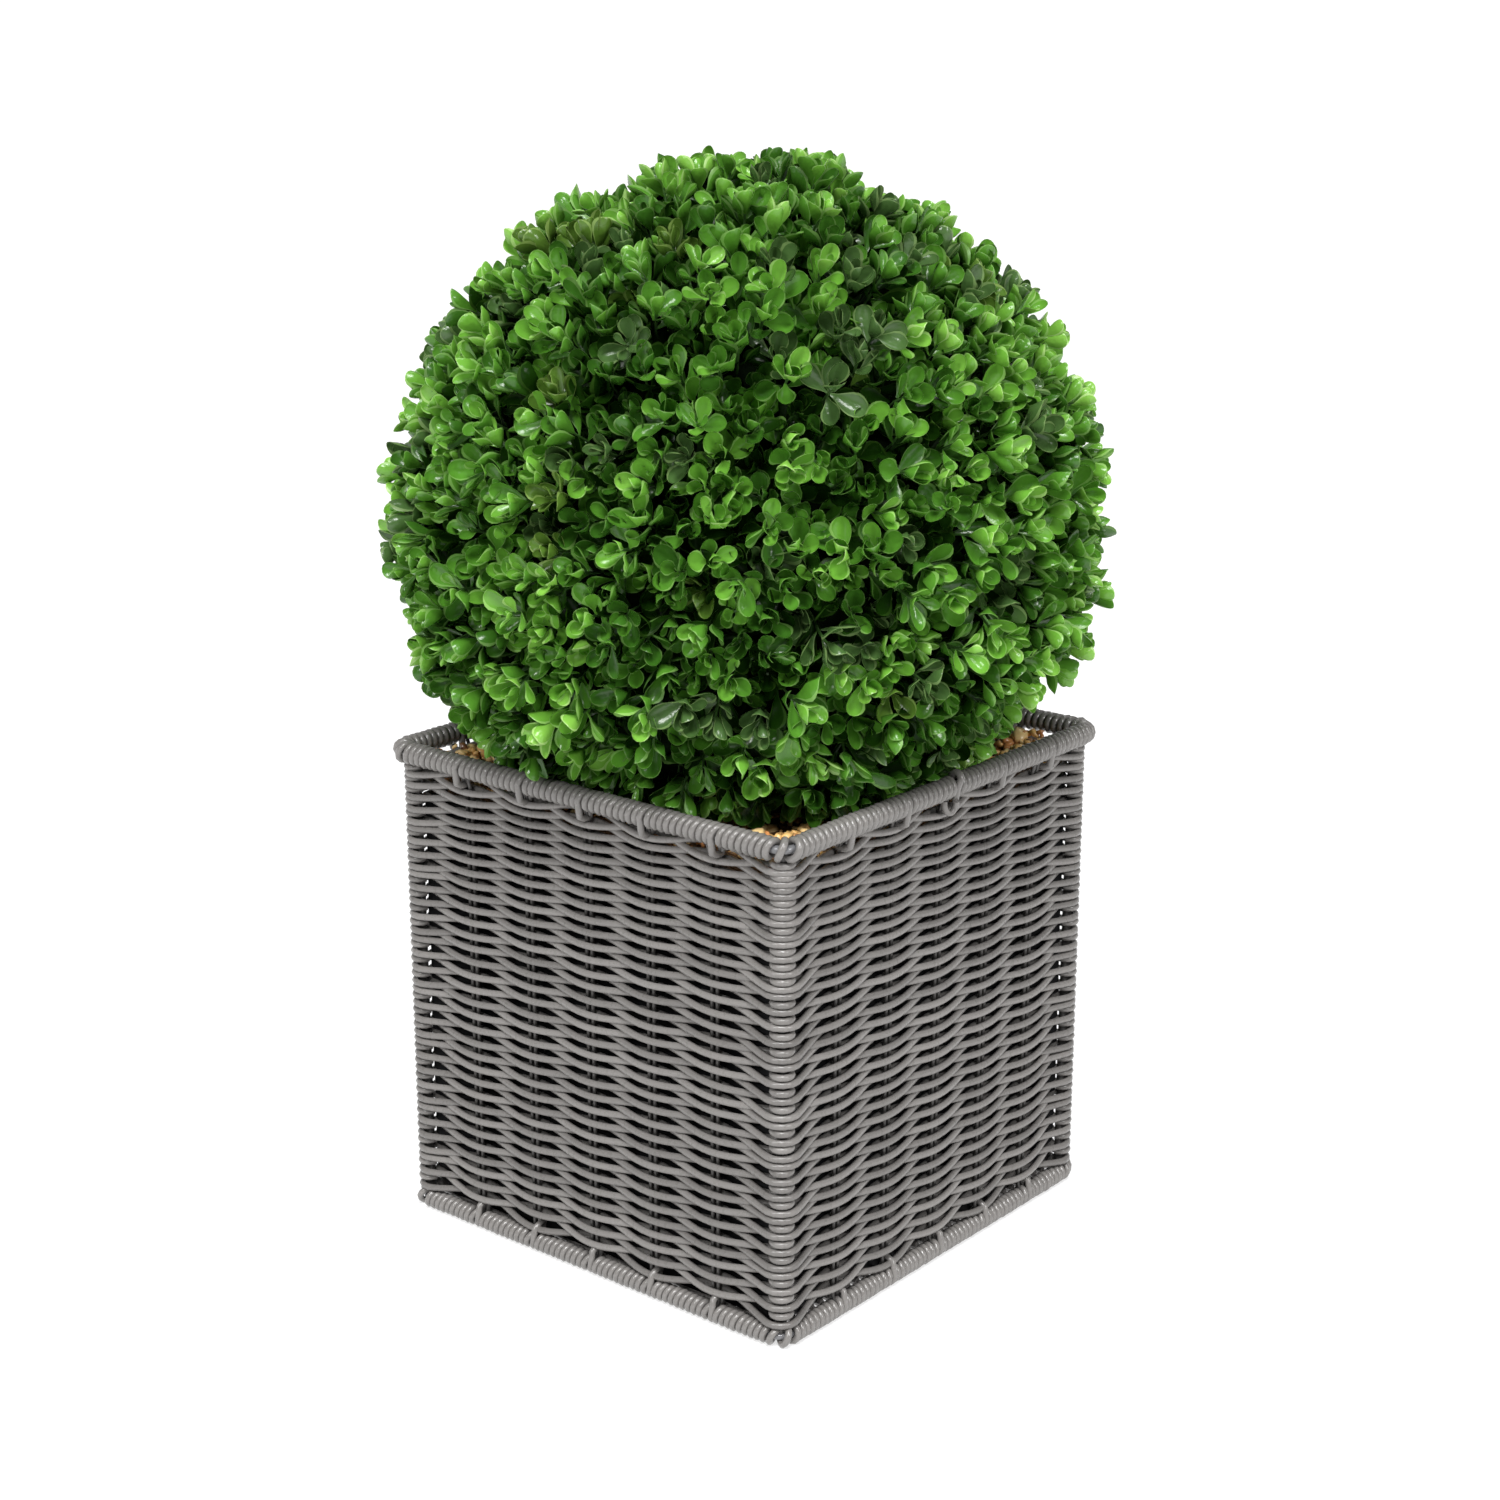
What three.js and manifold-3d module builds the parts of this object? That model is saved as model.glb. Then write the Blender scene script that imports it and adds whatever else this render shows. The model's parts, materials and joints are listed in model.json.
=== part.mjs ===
// Artificial box ball in a square woven planter.
// Millimetres, +Z up. The origin is on the ground, under the middle of the planter.

import * as THREE from 'three';
import { mergeVertices } from 'three/addons/utils/BufferGeometryUtils.js';
import Module from 'manifold-3d';

const wasm = await Module();
wasm.setup();

// ---- Driving dimensions -------------------------------------------------------------------

const GAP = 0.3; // clearance between pieces that touch
const CUT_OVER = 2; // how far a cutting piece reaches past what it cuts

// The wrapped rims are rings round a rounded square. halfWidth and corner are of the outside.
const TOP_RIM = { halfWidth: 133.5, corner: 13.5, thickness: 12, centreZ: 255.3 };
const FOOT_RIM = { halfWidth: 129.5, corner: 11, thickness: 9.5, centreZ: 4.75 };

// The woven wall is one sleeve; every course is a pair of strands that shows as one ridge.
const WALL = { halfWidth: 127.3, corner: 9.5, thickness: 9, top: 246.3, courses: 34, groove: 1.2 };

// The frame that the strands are woven on.
const POST_DIAMETER = 5.5;
const BAYS = 6; // bays between the corner posts of one side
const WIRE = { thickness: 2.2, pairWidth: 5.6, headHeight: 4 };
const BASE = { thickness: 3.5, bottom: 3, corner: 2 };

const LINER = { halfWidth: 116, corner: 14, wall: 2.2, floor: 2.5, top: 243 };
const BLOCK_TOP = 226;
const MULCH = { level: 241.5, relief: 1.6, waveLength: 90, cells: 10 };

const STEM = { footDiameter: 24, topDiameter: 19, socketDepth: 60, ripple: 0.6, rings: 5 };

const BALL = {
  centreZ: 371, // middle of the clipped ball
  reach: 185, // furthest leaf tip from the middle
  shell: 178, // where most leaf tips end
  coreRadius: 158, // the ball that the twigs are pushed into
  coreFloor: 255, // its flat underside
  foliageFloor: 249.5, // the lowest leaf
  rimMargin: 1.5, // between the leaves and the planter's top rim
};

// Twigs: pegs on an even spiral over the ball, each forking into arms that carry leaves.
const SEED = 20430;
const PEGS = 44;
const LOWEST_DIRECTION = -0.7; // z of the lowest peg's direction
const PEG_SPREAD = Math.sqrt((2 * (1 - LOWEST_DIRECTION)) / PEGS); // radius of its patch, in radians
const ARMS = 2; // arms on each peg
const TWIG = { footRadius: 2.6, tipRadius: 1.8, sunk: 20, tipDepth: 13, tipJitter: 3 };
const LEAVES_PER_ARM = 5;
const LEAF = { length: 41, width: 29, thickness: 1.4, shoulder: 0.2, cup: 2.2 };
const LEAF_REACH = 45; // leaves whose middles are further apart can't touch
const TOP_LEAF_SPLAY = 0.5; // angle between a twig and its top leaf, in radians
const TOP_LEAF_SIZE = 0.56; // against the side leaves
const SIDE_LEAF_SPLAY = 1.22; // the same for its side leaves
const LEAF_SEAT_STEP = 1.4; // distance between leaf seats along the twig
const LEAF_JITTER = { angle: 0.3, splay: 0.2, size: 0.12 }; // either way
const LEAF_SIZES = [1, 0.8, 0.62]; // tried in turn until a leaf fits
const LEAF_TURNS = [0, 0.35, -0.35, 0.7, -0.7]; // turns round the twig tried for each size

const COLOURS = {
  cane: 0x8a8480,
  steel: 0x5b5956,
  liner: 0x151514,
  block: 0x3a2a1c,
  mulch: 0xa9743f,
  stem: 0x4a3826,
  foliage: 0x3f7d2b,
};

// ---- Small helpers ------------------------------------------------------------------------

const TAU = Math.PI * 2;
const GOLDEN_ANGLE = Math.PI * (3 - Math.sqrt(5));
const UP = new THREE.Vector3(0, 0, 1);

/** Numbers from 0 to 1 in a fixed order, the same for the same seed. */
function seededRandom(seed) {
  let state = seed >>> 0;
  const next = () => {
    state = (Math.imul(state, 1664525) + 1013904223) >>> 0;
    return state / 4294967296;
  };
  next();
  next();
  return next;
}

/** A number between low and high. */
function between(random, low, high) {
  return low + (high - low) * random();
}

/** Shared vertices and positions only, as a solid needs. */
function weld(geometry) {
  const plain = geometry.clone();
  plain.deleteAttribute('normal');
  plain.deleteAttribute('uv');
  return mergeVertices(plain, 1e-4);
}

/** A closed geometry as a solid for joining and cutting. */
function toSolid(geometry) {
  const closed = weld(geometry);
  return new wasm.Manifold(new wasm.Mesh({
    numProp: 3,
    vertProperties: new Float32Array(closed.attributes.position.array),
    triVerts: new Uint32Array(closed.index.array),
  }));
}

/** A solid as a geometry for a mesh. */
function toGeometry(solid) {
  const { vertProperties, triVerts } = solid.getMesh();
  const geometry = new THREE.BufferGeometry();
  geometry.setAttribute('position', new THREE.BufferAttribute(new Float32Array(vertProperties), 3));
  geometry.setIndex(new THREE.BufferAttribute(new Uint32Array(triVerts), 1));
  return geometry;
}

/** Joins many solids two by two, which keeps every join small. */
function joinAll(solids) {
  let level = solids;
  while (level.length > 1) {
    const joined = [];
    for (let i = 0; i + 1 < level.length; i += 2) joined.push(level[i].add(level[i + 1]));
    if (level.length % 2) joined.push(level[level.length - 1]);
    level = joined;
  }
  return level[0];
}

/** The largest body alone: loose scraps go, and so do hollows that joining sealed. */
function mainBody(solid) {
  return solid.decompose().reduce((best, body) => (body.volume() > best.volume() ? body : best));
}

/** Points and outward directions round a rounded square, counter-clockwise from its -Y side. */
function roundedSquarePath(halfWidth, corner, cornerSteps) {
  const inner = halfWidth - corner;
  const signs = [[1, -1], [1, 1], [-1, 1], [-1, -1]];
  return signs.flatMap(([sx, sy], quarter) => {
    const points = [];
    for (let step = 0; step <= cornerSteps; step++) {
      const angle = (quarter - 1 + step / cornerSteps) * (Math.PI / 2);
      const normal = new THREE.Vector2(Math.cos(angle), Math.sin(angle));
      const centre = new THREE.Vector2(sx * inner, sy * inner);
      points.push({ point: centre.addScaledVector(normal, corner), normal });
    }
    return points;
  });
}

/** A flat rounded square. */
function roundedSquare(halfWidth, corner, cornerSteps = 4) {
  const path = roundedSquarePath(halfWidth, corner, cornerSteps);
  return new THREE.Shape(path.map(({ point }) => point));
}

/** A rounded square slab from bottom to top. */
function squareSlab(halfWidth, corner, bottom, top, cornerSteps = 4) {
  const outline = roundedSquare(halfWidth, corner, cornerSteps);
  const slab = new THREE.ExtrudeGeometry(outline, { depth: top - bottom, bevelEnabled: false });
  return slab.translate(0, 0, bottom);
}

/**
 * A closed profile swept round a rounded square. The profile holds (inset from the outside
 * face, height) pairs; a lathe makes the ring, which is then set out along the square.
 */
function squareRing(profile, halfWidth, corner, cornerSteps) {
  const path = roundedSquarePath(halfWidth, corner, cornerSteps);
  const lathe = new THREE.LatheGeometry(
    [...profile, profile[0]].map(([inset, height]) => new THREE.Vector2(halfWidth - inset, height)),
    path.length,
  );
  const position = lathe.attributes.position;
  const rows = profile.length + 1;
  for (let i = 0; i < position.count; i++) {
    const { point, normal } = path[Math.floor(i / rows) % path.length];
    const [inset, height] = profile[(i % rows) % profile.length];
    position.setXYZ(i, point.x - normal.x * inset, point.y - normal.y * inset, height);
  }
  return lathe;
}

/** An eight-sided section with flat top, bottom and sides, as a profile for squareRing. */
function rimProfile({ thickness, centreZ }) {
  const radius = thickness / 2;
  const circumradius = radius / Math.cos(Math.PI / 8);
  return Array.from({ length: 8 }, (_, i) => {
    const angle = ((i + 0.5) / 8) * TAU;
    return [radius + circumradius * Math.cos(angle), centreZ - circumradius * Math.sin(angle)];
  });
}

/** Height of the top rim's underside at a distance inwards from the middle of its section. */
function undersideOfTopRim(inwards) {
  const radius = TOP_RIM.thickness / 2;
  return TOP_RIM.centreZ - Math.min(radius, radius * Math.SQRT2 - Math.abs(inwards));
}

// ---- Places that several pieces share -----------------------------------------------------

const footTop = FOOT_RIM.centreZ + FOOT_RIM.thickness / 2;
const wallMiddle = WALL.halfWidth - WALL.thickness / 2;
const postPlace = WALL.halfWidth - WALL.corner + (WALL.corner - WALL.thickness / 2) / Math.SQRT2;
const topRimMiddle = TOP_RIM.halfWidth - TOP_RIM.thickness / 2;
const baseTop = BASE.bottom + BASE.thickness;
const linerBottom = baseTop + GAP;
const insideLiner = LINER.halfWidth - LINER.wall - GAP;
const blockBottom = linerBottom + LINER.floor + GAP;
const stemFoot = BLOCK_TOP - STEM.socketDepth;
const stemTop = BALL.coreFloor - GAP;

// ---- Planter ------------------------------------------------------------------------------

/** The wound rim that the uprights end under. */
function topRim() {
  return squareRing(rimProfile(TOP_RIM), TOP_RIM.halfWidth, TOP_RIM.corner, 4);
}

/** The wound rim that the planter stands on. */
function footRim() {
  return squareRing(rimProfile(FOOT_RIM), FOOT_RIM.halfWidth, FOOT_RIM.corner, 4);
}

/** Corner posts stand on the foot rim and end under the top rim. */
function cornerPost() {
  const radius = POST_DIAMETER / 2;
  const cornerInwards = (topRimMiddle - postPlace) * Math.SQRT2
    - (TOP_RIM.corner - TOP_RIM.thickness / 2) * (Math.SQRT2 - 1);
  const top = undersideOfTopRim(cornerInwards - radius) - GAP * Math.SQRT2;
  const bottom = footTop + GAP;
  const post = new THREE.CylinderGeometry(radius, radius, top - bottom, 10);
  return post.rotateX(Math.PI / 2).translate(0, 0, (top + bottom) / 2);
}

/** An upright is one wire bent double: two legs joined by a head under the top rim. */
function upright() {
  const { thickness, pairWidth, headHeight } = WIRE;
  const wallInwards = topRimMiddle - wallMiddle - thickness / 2;
  const top = undersideOfTopRim(wallInwards) - GAP * Math.SQRT2;
  const bottom = footTop + GAP;
  const half = pairWidth / 2;
  const slot = half - thickness;
  const shoulder = top - headHeight / 2;
  const outline = new THREE.Shape([
    new THREE.Vector2(-half, bottom),
    new THREE.Vector2(-slot, bottom),
    new THREE.Vector2(-slot, shoulder - thickness / 2),
    new THREE.Vector2(slot, shoulder - thickness / 2),
    new THREE.Vector2(slot, bottom),
    new THREE.Vector2(half, bottom),
    new THREE.Vector2(half, shoulder),
    new THREE.Vector2(half - headHeight / 2, top),
    new THREE.Vector2(-half + headHeight / 2, top),
    new THREE.Vector2(-half, shoulder),
  ]);
  const wire = new THREE.ExtrudeGeometry(outline, { depth: thickness, bevelEnabled: false });
  return wire.translate(0, 0, -thickness / 2).rotateX(Math.PI / 2);
}

/** Distances of the uprights from the middle of a side. */
function uprightOffsets() {
  const pitch = (2 * postPlace) / BAYS;
  return Array.from({ length: BAYS - 1 }, (_, i) => (i + 1 - BAYS / 2) * pitch);
}

/** The woven sleeve: ridged outside, smooth inside, with a channel for every post and wire. */
function wovenWall() {
  const bottom = footTop + GAP;
  const pitch = (WALL.top - bottom) / WALL.courses;
  const outside = [];
  for (let course = 0; course < WALL.courses; course++) {
    const low = bottom + course * pitch;
    outside.push([WALL.groove, low], [0, low + pitch / 2]);
  }
  outside.push([WALL.groove, WALL.top]);
  const inside = [[WALL.thickness, WALL.top], [WALL.thickness, bottom]];
  let sleeve = toSolid(squareRing([...outside, ...inside], WALL.halfWidth, WALL.corner, 2));
  const height = WALL.top - bottom + CUT_OVER;
  const middleZ = (WALL.top + bottom) / 2;
  const wireSlot = new THREE.BoxGeometry(WIRE.pairWidth + 2 * GAP, WIRE.thickness + 2 * GAP, height);
  const postRadius = POST_DIAMETER / 2 + GAP;
  const postHole = new THREE.CylinderGeometry(postRadius, postRadius, height, 10).rotateX(Math.PI / 2);
  for (let side = 0; side < 4; side++) {
    const turn = (side * Math.PI) / 2;
    const hole = postHole.clone().translate(postPlace, -postPlace, middleZ).rotateZ(turn);
    sleeve = sleeve.subtract(toSolid(hole));
    for (const offset of uprightOffsets()) {
      const slot = wireSlot.clone().translate(offset, -wallMiddle, middleZ).rotateZ(turn);
      sleeve = sleeve.subtract(toSolid(slot));
    }
  }
  return toGeometry(sleeve);
}

/** The floor of the planter, inside the foot rim. */
function basePanel() {
  const halfWidth = FOOT_RIM.halfWidth - FOOT_RIM.thickness - GAP;
  return squareSlab(halfWidth, BASE.corner, BASE.bottom, baseTop);
}

/** The thin tub that keeps the filling off the weave. */
function liner() {
  const outside = toSolid(squareSlab(LINER.halfWidth, LINER.corner, linerBottom, LINER.top));
  const inside = squareSlab(LINER.halfWidth - LINER.wall, LINER.corner - LINER.wall,
    linerBottom + LINER.floor, LINER.top + CUT_OVER);
  return toGeometry(outside.subtract(toSolid(inside)));
}

/** The block that fills the tub and holds the stem. */
function fillingBlock() {
  const corner = LINER.corner - LINER.wall - GAP;
  const block = toSolid(squareSlab(insideLiner, corner, blockBottom, BLOCK_TOP));
  return toGeometry(block.subtract(toSolid(stemGeometry(GAP))));
}

/** Height of the mulch above its level, an uneven but smooth surface. */
function mulchRelief(x, y) {
  const wave = TAU / MULCH.waveLength;
  const broad = Math.sin(x * wave + 1) * Math.cos(y * wave);
  const fine = Math.sin((x + y) * wave * 2) / 2;
  return MULCH.relief * (broad + fine);
}

/** The layer of chips over the block. */
function mulchLayer() {
  const bottom = BLOCK_TOP + GAP;
  const depth = MULCH.level - bottom;
  const width = (insideLiner + CUT_OVER) * 2;
  const layer = new THREE.BoxGeometry(width, width, depth, MULCH.cells, MULCH.cells, 1);
  layer.translate(0, 0, bottom + depth / 2);
  const position = layer.attributes.position;
  for (let i = 0; i < position.count; i++) {
    if (position.getZ(i) < bottom + depth / 2) continue;
    position.setZ(i, MULCH.level + mulchRelief(position.getX(i), position.getY(i)));
  }
  const corner = LINER.corner - LINER.wall - GAP;
  const highest = MULCH.level + 2 * MULCH.relief;
  const column = toSolid(squareSlab(insideLiner, corner, bottom - CUT_OVER, highest));
  const chips = toSolid(layer).intersect(column);
  return toGeometry(chips.subtract(toSolid(stemGeometry(GAP))));
}

// ---- Stem and ball ------------------------------------------------------------------------

/** The short stem, tapering upwards, grown by clearance all round for the hole it stands in. */
function stemGeometry(clearance = 0) {
  const { footDiameter, topDiameter, ripple, rings } = STEM;
  const foot = stemFoot - clearance;
  const profile = [new THREE.Vector2(0, foot)];
  for (let ring = 0; ring <= rings; ring++) {
    const along = ring / rings;
    const radius = THREE.MathUtils.lerp(footDiameter, topDiameter, along) / 2 + clearance;
    const knot = ring % 2 ? ripple : 0;
    profile.push(new THREE.Vector2(radius - knot, foot + (stemTop + clearance - foot) * along));
  }
  profile.push(new THREE.Vector2(0, stemTop + clearance));
  return new THREE.LatheGeometry(profile, 14).rotateX(Math.PI / 2);
}

/** True where foliage may be: inside the ball, above the mulch and clear of the top rim. */
function inFoliageSpace(point) {
  const fromMiddle = Math.hypot(point.x, point.y, point.z - BALL.centreZ);
  if (fromMiddle > BALL.reach || point.z < BALL.foliageFloor) return false;
  const sideways = Math.max(Math.abs(point.x), Math.abs(point.y));
  const rimTop = TOP_RIM.centreZ + TOP_RIM.thickness / 2;
  const insideRim = TOP_RIM.halfWidth - TOP_RIM.thickness - BALL.rimMargin;
  return sideways < insideRim || point.z > rimTop + BALL.rimMargin;
}

/** The direction of a peg: an even spiral from the crown down to the lowest pegs. */
function pegDirection(peg) {
  const z = 1 - ((peg + 0.5) / PEGS) * (1 - LOWEST_DIRECTION);
  const level = Math.sqrt(1 - z * z);
  const angle = peg * GOLDEN_ANGLE;
  return new THREE.Vector3(level * Math.cos(angle), level * Math.sin(angle), z);
}

/** Two directions across the given one. */
function acrossAxes(direction) {
  const side = Math.abs(direction.z) < 0.9 ? UP : new THREE.Vector3(1, 0, 0);
  const first = new THREE.Vector3().crossVectors(side, direction).normalize();
  return [first, new THREE.Vector3().crossVectors(direction, first)];
}

/** Where an arm of a peg ends up on the ball: arms fill the peg's patch like sunflower seeds. */
function armDirection(peg, arm, armsPerPeg) {
  const pegRandom = seededRandom(SEED + peg * 101);
  const turn = pegRandom() * TAU;
  const middle = pegDirection(peg);
  const [first, second] = acrossAxes(middle);
  const away = PEG_SPREAD * Math.sqrt((arm + 0.5) / armsPerPeg);
  const angle = turn + arm * GOLDEN_ANGLE;
  return middle
    .addScaledVector(first, Math.tan(away) * Math.cos(angle))
    .addScaledVector(second, Math.tan(away) * Math.sin(angle))
    .normalize();
}

/** A leaf of eight faces, its root at the origin, along +X with its face up. */
function leafGeometry(size) {
  const leaf = new THREE.OctahedronGeometry(1);
  const position = leaf.attributes.position;
  for (let i = 0; i < position.count; i++) {
    const [x, y, z] = [position.getX(i), position.getY(i), position.getZ(i)];
    const rise = x > 0.5 || Math.abs(y) > 0.5 ? LEAF.cup * size : 0;
    position.setXYZ(
      i,
      (LEAF.length * size * (1 + x + 2 * LEAF.shoulder * Math.abs(y))) / 2,
      (LEAF.width * size * y) / 2,
      (LEAF.thickness * z) / 2 + rise,
    );
  }
  return leaf;
}

/** Moves a piece made along +X, face up, so that it starts at a point and runs along a direction. */
function place(geometry, start, along, face) {
  const x = along.clone().normalize();
  const y = new THREE.Vector3().crossVectors(face, x).normalize();
  const z = new THREE.Vector3().crossVectors(x, y);
  const frame = new THREE.Matrix4().makeBasis(x, y, z).setPosition(start);
  return geometry.applyMatrix4(frame);
}

/** True where every edge of a piece, looked at every quarter of its length, is in the space. */
function staysInSpace(geometry) {
  const closed = weld(geometry);
  const position = closed.attributes.position;
  const corner = new THREE.Vector3();
  const next = new THREE.Vector3();
  const index = closed.index.array;
  for (let i = 0; i < index.length; i++) {
    corner.fromBufferAttribute(position, index[i]);
    next.fromBufferAttribute(position, index[i % 3 === 2 ? i - 2 : i + 1]);
    for (const along of [0, 1 / 4, 1 / 2, 3 / 4]) {
      if (!inFoliageSpace(corner.clone().lerp(next, along))) return false;
    }
  }
  return true;
}

/** True where a leaf crosses no leaf of another arm. */
function keepsClear(leaf, placedLeaves) {
  return placedLeaves.every((other) => other.arm === leaf.arm
    || other.middle.distanceTo(leaf.middle) > LEAF_REACH
    || leaf.solid.intersect(other.solid).isEmpty());
}

/** The first leaf at a seat that stays in the foliage space and keeps clear of the others. */
function fittingLeaf(seat, direction, startAngle, splay, size, arm, placedLeaves) {
  const [first, second] = acrossAxes(direction);
  for (const smaller of LEAF_SIZES) {
    for (const turn of LEAF_TURNS) {
      const angle = startAngle + turn;
      const along = direction.clone().multiplyScalar(Math.cos(splay))
        .addScaledVector(first, Math.sin(splay) * Math.cos(angle))
        .addScaledVector(second, Math.sin(splay) * Math.sin(angle));
      const geometry = place(leafGeometry(size * smaller), seat, along, direction);
      if (!staysInSpace(geometry)) continue;
      const middle = seat.clone().addScaledVector(along, LEAF.length / 2);
      const leaf = { solid: toSolid(geometry), middle, arm };
      if (keepsClear(leaf, placedLeaves)) return leaf;
    }
  }
  return null;
}

/** One arm of a peg: a three-sided twig out of the core, with leaves round its end. */
function armPieces(peg, arm, placedLeaves) {
  const random = seededRandom(SEED + peg * 101 + (arm + 1) * 7);
  const direction = armDirection(peg, arm, ARMS);
  const foot = pegDirection(peg).multiplyScalar(BALL.coreRadius - TWIG.sunk);
  const depth = TWIG.tipDepth + between(random, -TWIG.tipJitter, TWIG.tipJitter);
  const tip = direction.clone().multiplyScalar(BALL.shell - depth);
  foot.z += BALL.centreZ;
  tip.z += BALL.centreZ;
  const along = tip.clone().sub(foot);
  const [first] = acrossAxes(direction);
  const twist = random() * TAU;
  const twig = new THREE.CylinderGeometry(TWIG.tipRadius, TWIG.footRadius, along.length(), 3);
  twig.rotateZ(-Math.PI / 2).translate(along.length() / 2, 0, 0);
  place(twig, foot, along, first);
  if (!staysInSpace(twig)) return [];
  const leaves = [];
  for (let i = 0; i < LEAVES_PER_ARM; i++) {
    const isTop = i === LEAVES_PER_ARM - 1;
    const around = twist + (i / (LEAVES_PER_ARM - 1)) * TAU;
    const angle = around + between(random, -LEAF_JITTER.angle, LEAF_JITTER.angle);
    const leaning = isTop ? TOP_LEAF_SPLAY : SIDE_LEAF_SPLAY;
    const splay = leaning + between(random, -LEAF_JITTER.splay, LEAF_JITTER.splay);
    const grown = between(random, 1 - LEAF_JITTER.size, 1 + LEAF_JITTER.size);
    const size = grown * (isTop ? TOP_LEAF_SIZE : 1);
    const belowTip = LEAF_SEAT_STEP * (LEAVES_PER_ARM - i);
    const seat = tip.clone().lerp(foot, belowTip / along.length());
    const leaf = fittingLeaf(seat, direction, angle, splay, size, `${peg}_${arm}`, placedLeaves);
    if (leaf) leaves.push(leaf);
  }
  placedLeaves.push(...leaves);
  return [toSolid(twig), ...leaves.map(({ solid }) => solid)];
}

/** The core: a ball cut flat underneath, where it stands on the stem. */
function core() {
  const ball = new THREE.IcosahedronGeometry(BALL.coreRadius, 3).translate(0, 0, BALL.centreZ);
  const size = (BALL.coreRadius + CUT_OVER) * 2;
  const below = new THREE.BoxGeometry(size, size, size).translate(0, 0, BALL.coreFloor - size / 2);
  return toSolid(ball).subtract(toSolid(below));
}

/** The clipped ball: core, twigs and leaves in one body. */
function foliageBall() {
  const pieces = [core()];
  const placedLeaves = [];
  for (let peg = 0; peg < PEGS; peg++) {
    for (let arm = 0; arm < ARMS; arm++) pieces.push(...armPieces(peg, arm, placedLeaves));
  }
  return toGeometry(mainBody(joinAll(pieces)));
}

// ---- Scene graph --------------------------------------------------------------------------

const root = new THREE.Group();

/** A named mesh with a material of its own. */
function piece(name, geometry, colour, roughness, metalness = 0) {
  const material = new THREE.MeshStandardMaterial({ color: colour, roughness, metalness });
  const mesh = new THREE.Mesh(geometry, material);
  mesh.name = name;
  return mesh;
}

root.add(
  piece('top_rim', topRim(), COLOURS.cane, 0.5),
  piece('foot_rim', footRim(), COLOURS.cane, 0.5),
  piece('woven_wall', wovenWall(), COLOURS.cane, 0.5),
  piece('base_panel', basePanel(), COLOURS.cane, 0.6),
  piece('liner', liner(), COLOURS.liner, 0.6),
  piece('filling_block', fillingBlock(), COLOURS.block, 0.9),
  piece('mulch', mulchLayer(), COLOURS.mulch, 0.7),
  piece('stem', stemGeometry(), COLOURS.stem, 0.8),
  piece('foliage_ball', foliageBall(), COLOURS.foliage, 0.45),
);

['front', 'right', 'back', 'left'].forEach((sideName, side) => {
  const group = new THREE.Group();
  group.rotation.z = (side * Math.PI) / 2;
  const post = piece(`corner_post_${side + 1}`, cornerPost(), COLOURS.steel, 0.4, 0.6);
  post.position.set(postPlace, -postPlace, 0);
  group.add(post);
  uprightOffsets().forEach((offset, i) => {
    const wire = piece(`upright_${sideName}_${i + 1}`, upright(), COLOURS.steel, 0.4, 0.6);
    wire.position.set(offset, -wallMiddle, 0);
    group.add(wire);
  });
  root.add(group);
});

export default root;
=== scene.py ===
"""The finished look of an artificial box ball in a square woven planter, in metres."""

import json
import logging
import math
from collections.abc import Iterable, Sequence
from dataclasses import dataclass, field
from enum import Enum

import bmesh
import bpy
import numpy as np
from mathutils import Matrix, Vector, noise

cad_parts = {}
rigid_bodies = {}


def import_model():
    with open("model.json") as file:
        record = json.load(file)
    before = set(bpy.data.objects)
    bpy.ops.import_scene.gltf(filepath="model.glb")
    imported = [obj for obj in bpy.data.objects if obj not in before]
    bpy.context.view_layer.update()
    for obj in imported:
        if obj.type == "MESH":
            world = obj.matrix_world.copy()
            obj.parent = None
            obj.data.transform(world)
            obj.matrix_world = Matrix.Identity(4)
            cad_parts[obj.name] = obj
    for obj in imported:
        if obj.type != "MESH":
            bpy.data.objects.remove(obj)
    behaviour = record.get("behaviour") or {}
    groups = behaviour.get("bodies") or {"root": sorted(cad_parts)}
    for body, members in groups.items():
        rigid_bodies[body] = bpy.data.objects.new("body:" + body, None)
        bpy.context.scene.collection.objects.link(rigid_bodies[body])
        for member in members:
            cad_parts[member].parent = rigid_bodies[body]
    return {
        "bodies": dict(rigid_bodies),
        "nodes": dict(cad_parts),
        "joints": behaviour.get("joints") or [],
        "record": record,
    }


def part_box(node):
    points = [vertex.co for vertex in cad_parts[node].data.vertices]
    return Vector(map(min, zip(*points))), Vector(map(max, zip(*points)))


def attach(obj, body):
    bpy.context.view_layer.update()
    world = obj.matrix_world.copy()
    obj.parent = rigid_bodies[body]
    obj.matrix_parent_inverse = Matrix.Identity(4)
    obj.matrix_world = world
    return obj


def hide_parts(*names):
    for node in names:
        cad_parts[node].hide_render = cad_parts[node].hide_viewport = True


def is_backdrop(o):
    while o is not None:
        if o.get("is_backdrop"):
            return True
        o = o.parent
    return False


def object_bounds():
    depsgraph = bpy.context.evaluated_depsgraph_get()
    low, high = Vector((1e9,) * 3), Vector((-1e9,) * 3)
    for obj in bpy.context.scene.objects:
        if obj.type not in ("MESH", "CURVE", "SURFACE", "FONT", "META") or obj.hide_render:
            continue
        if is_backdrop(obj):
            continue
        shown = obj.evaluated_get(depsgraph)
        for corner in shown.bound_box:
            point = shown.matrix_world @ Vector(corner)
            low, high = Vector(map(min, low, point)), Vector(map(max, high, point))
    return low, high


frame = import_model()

log = logging.getLogger("box_ball")

TAU = 2 * math.pi
GOLDEN_ANGLE = math.pi * (3 - math.sqrt(5))
MM = 0.001
SIDES = 4
BAYS = 6  # bays between the corner posts of one side
CANE = 3.6 * MM  # diameter of the round cane
UP = (0.0, 0.0, 1.0)


# ---- Shaders ------------------------------------------------------------------------------


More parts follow.
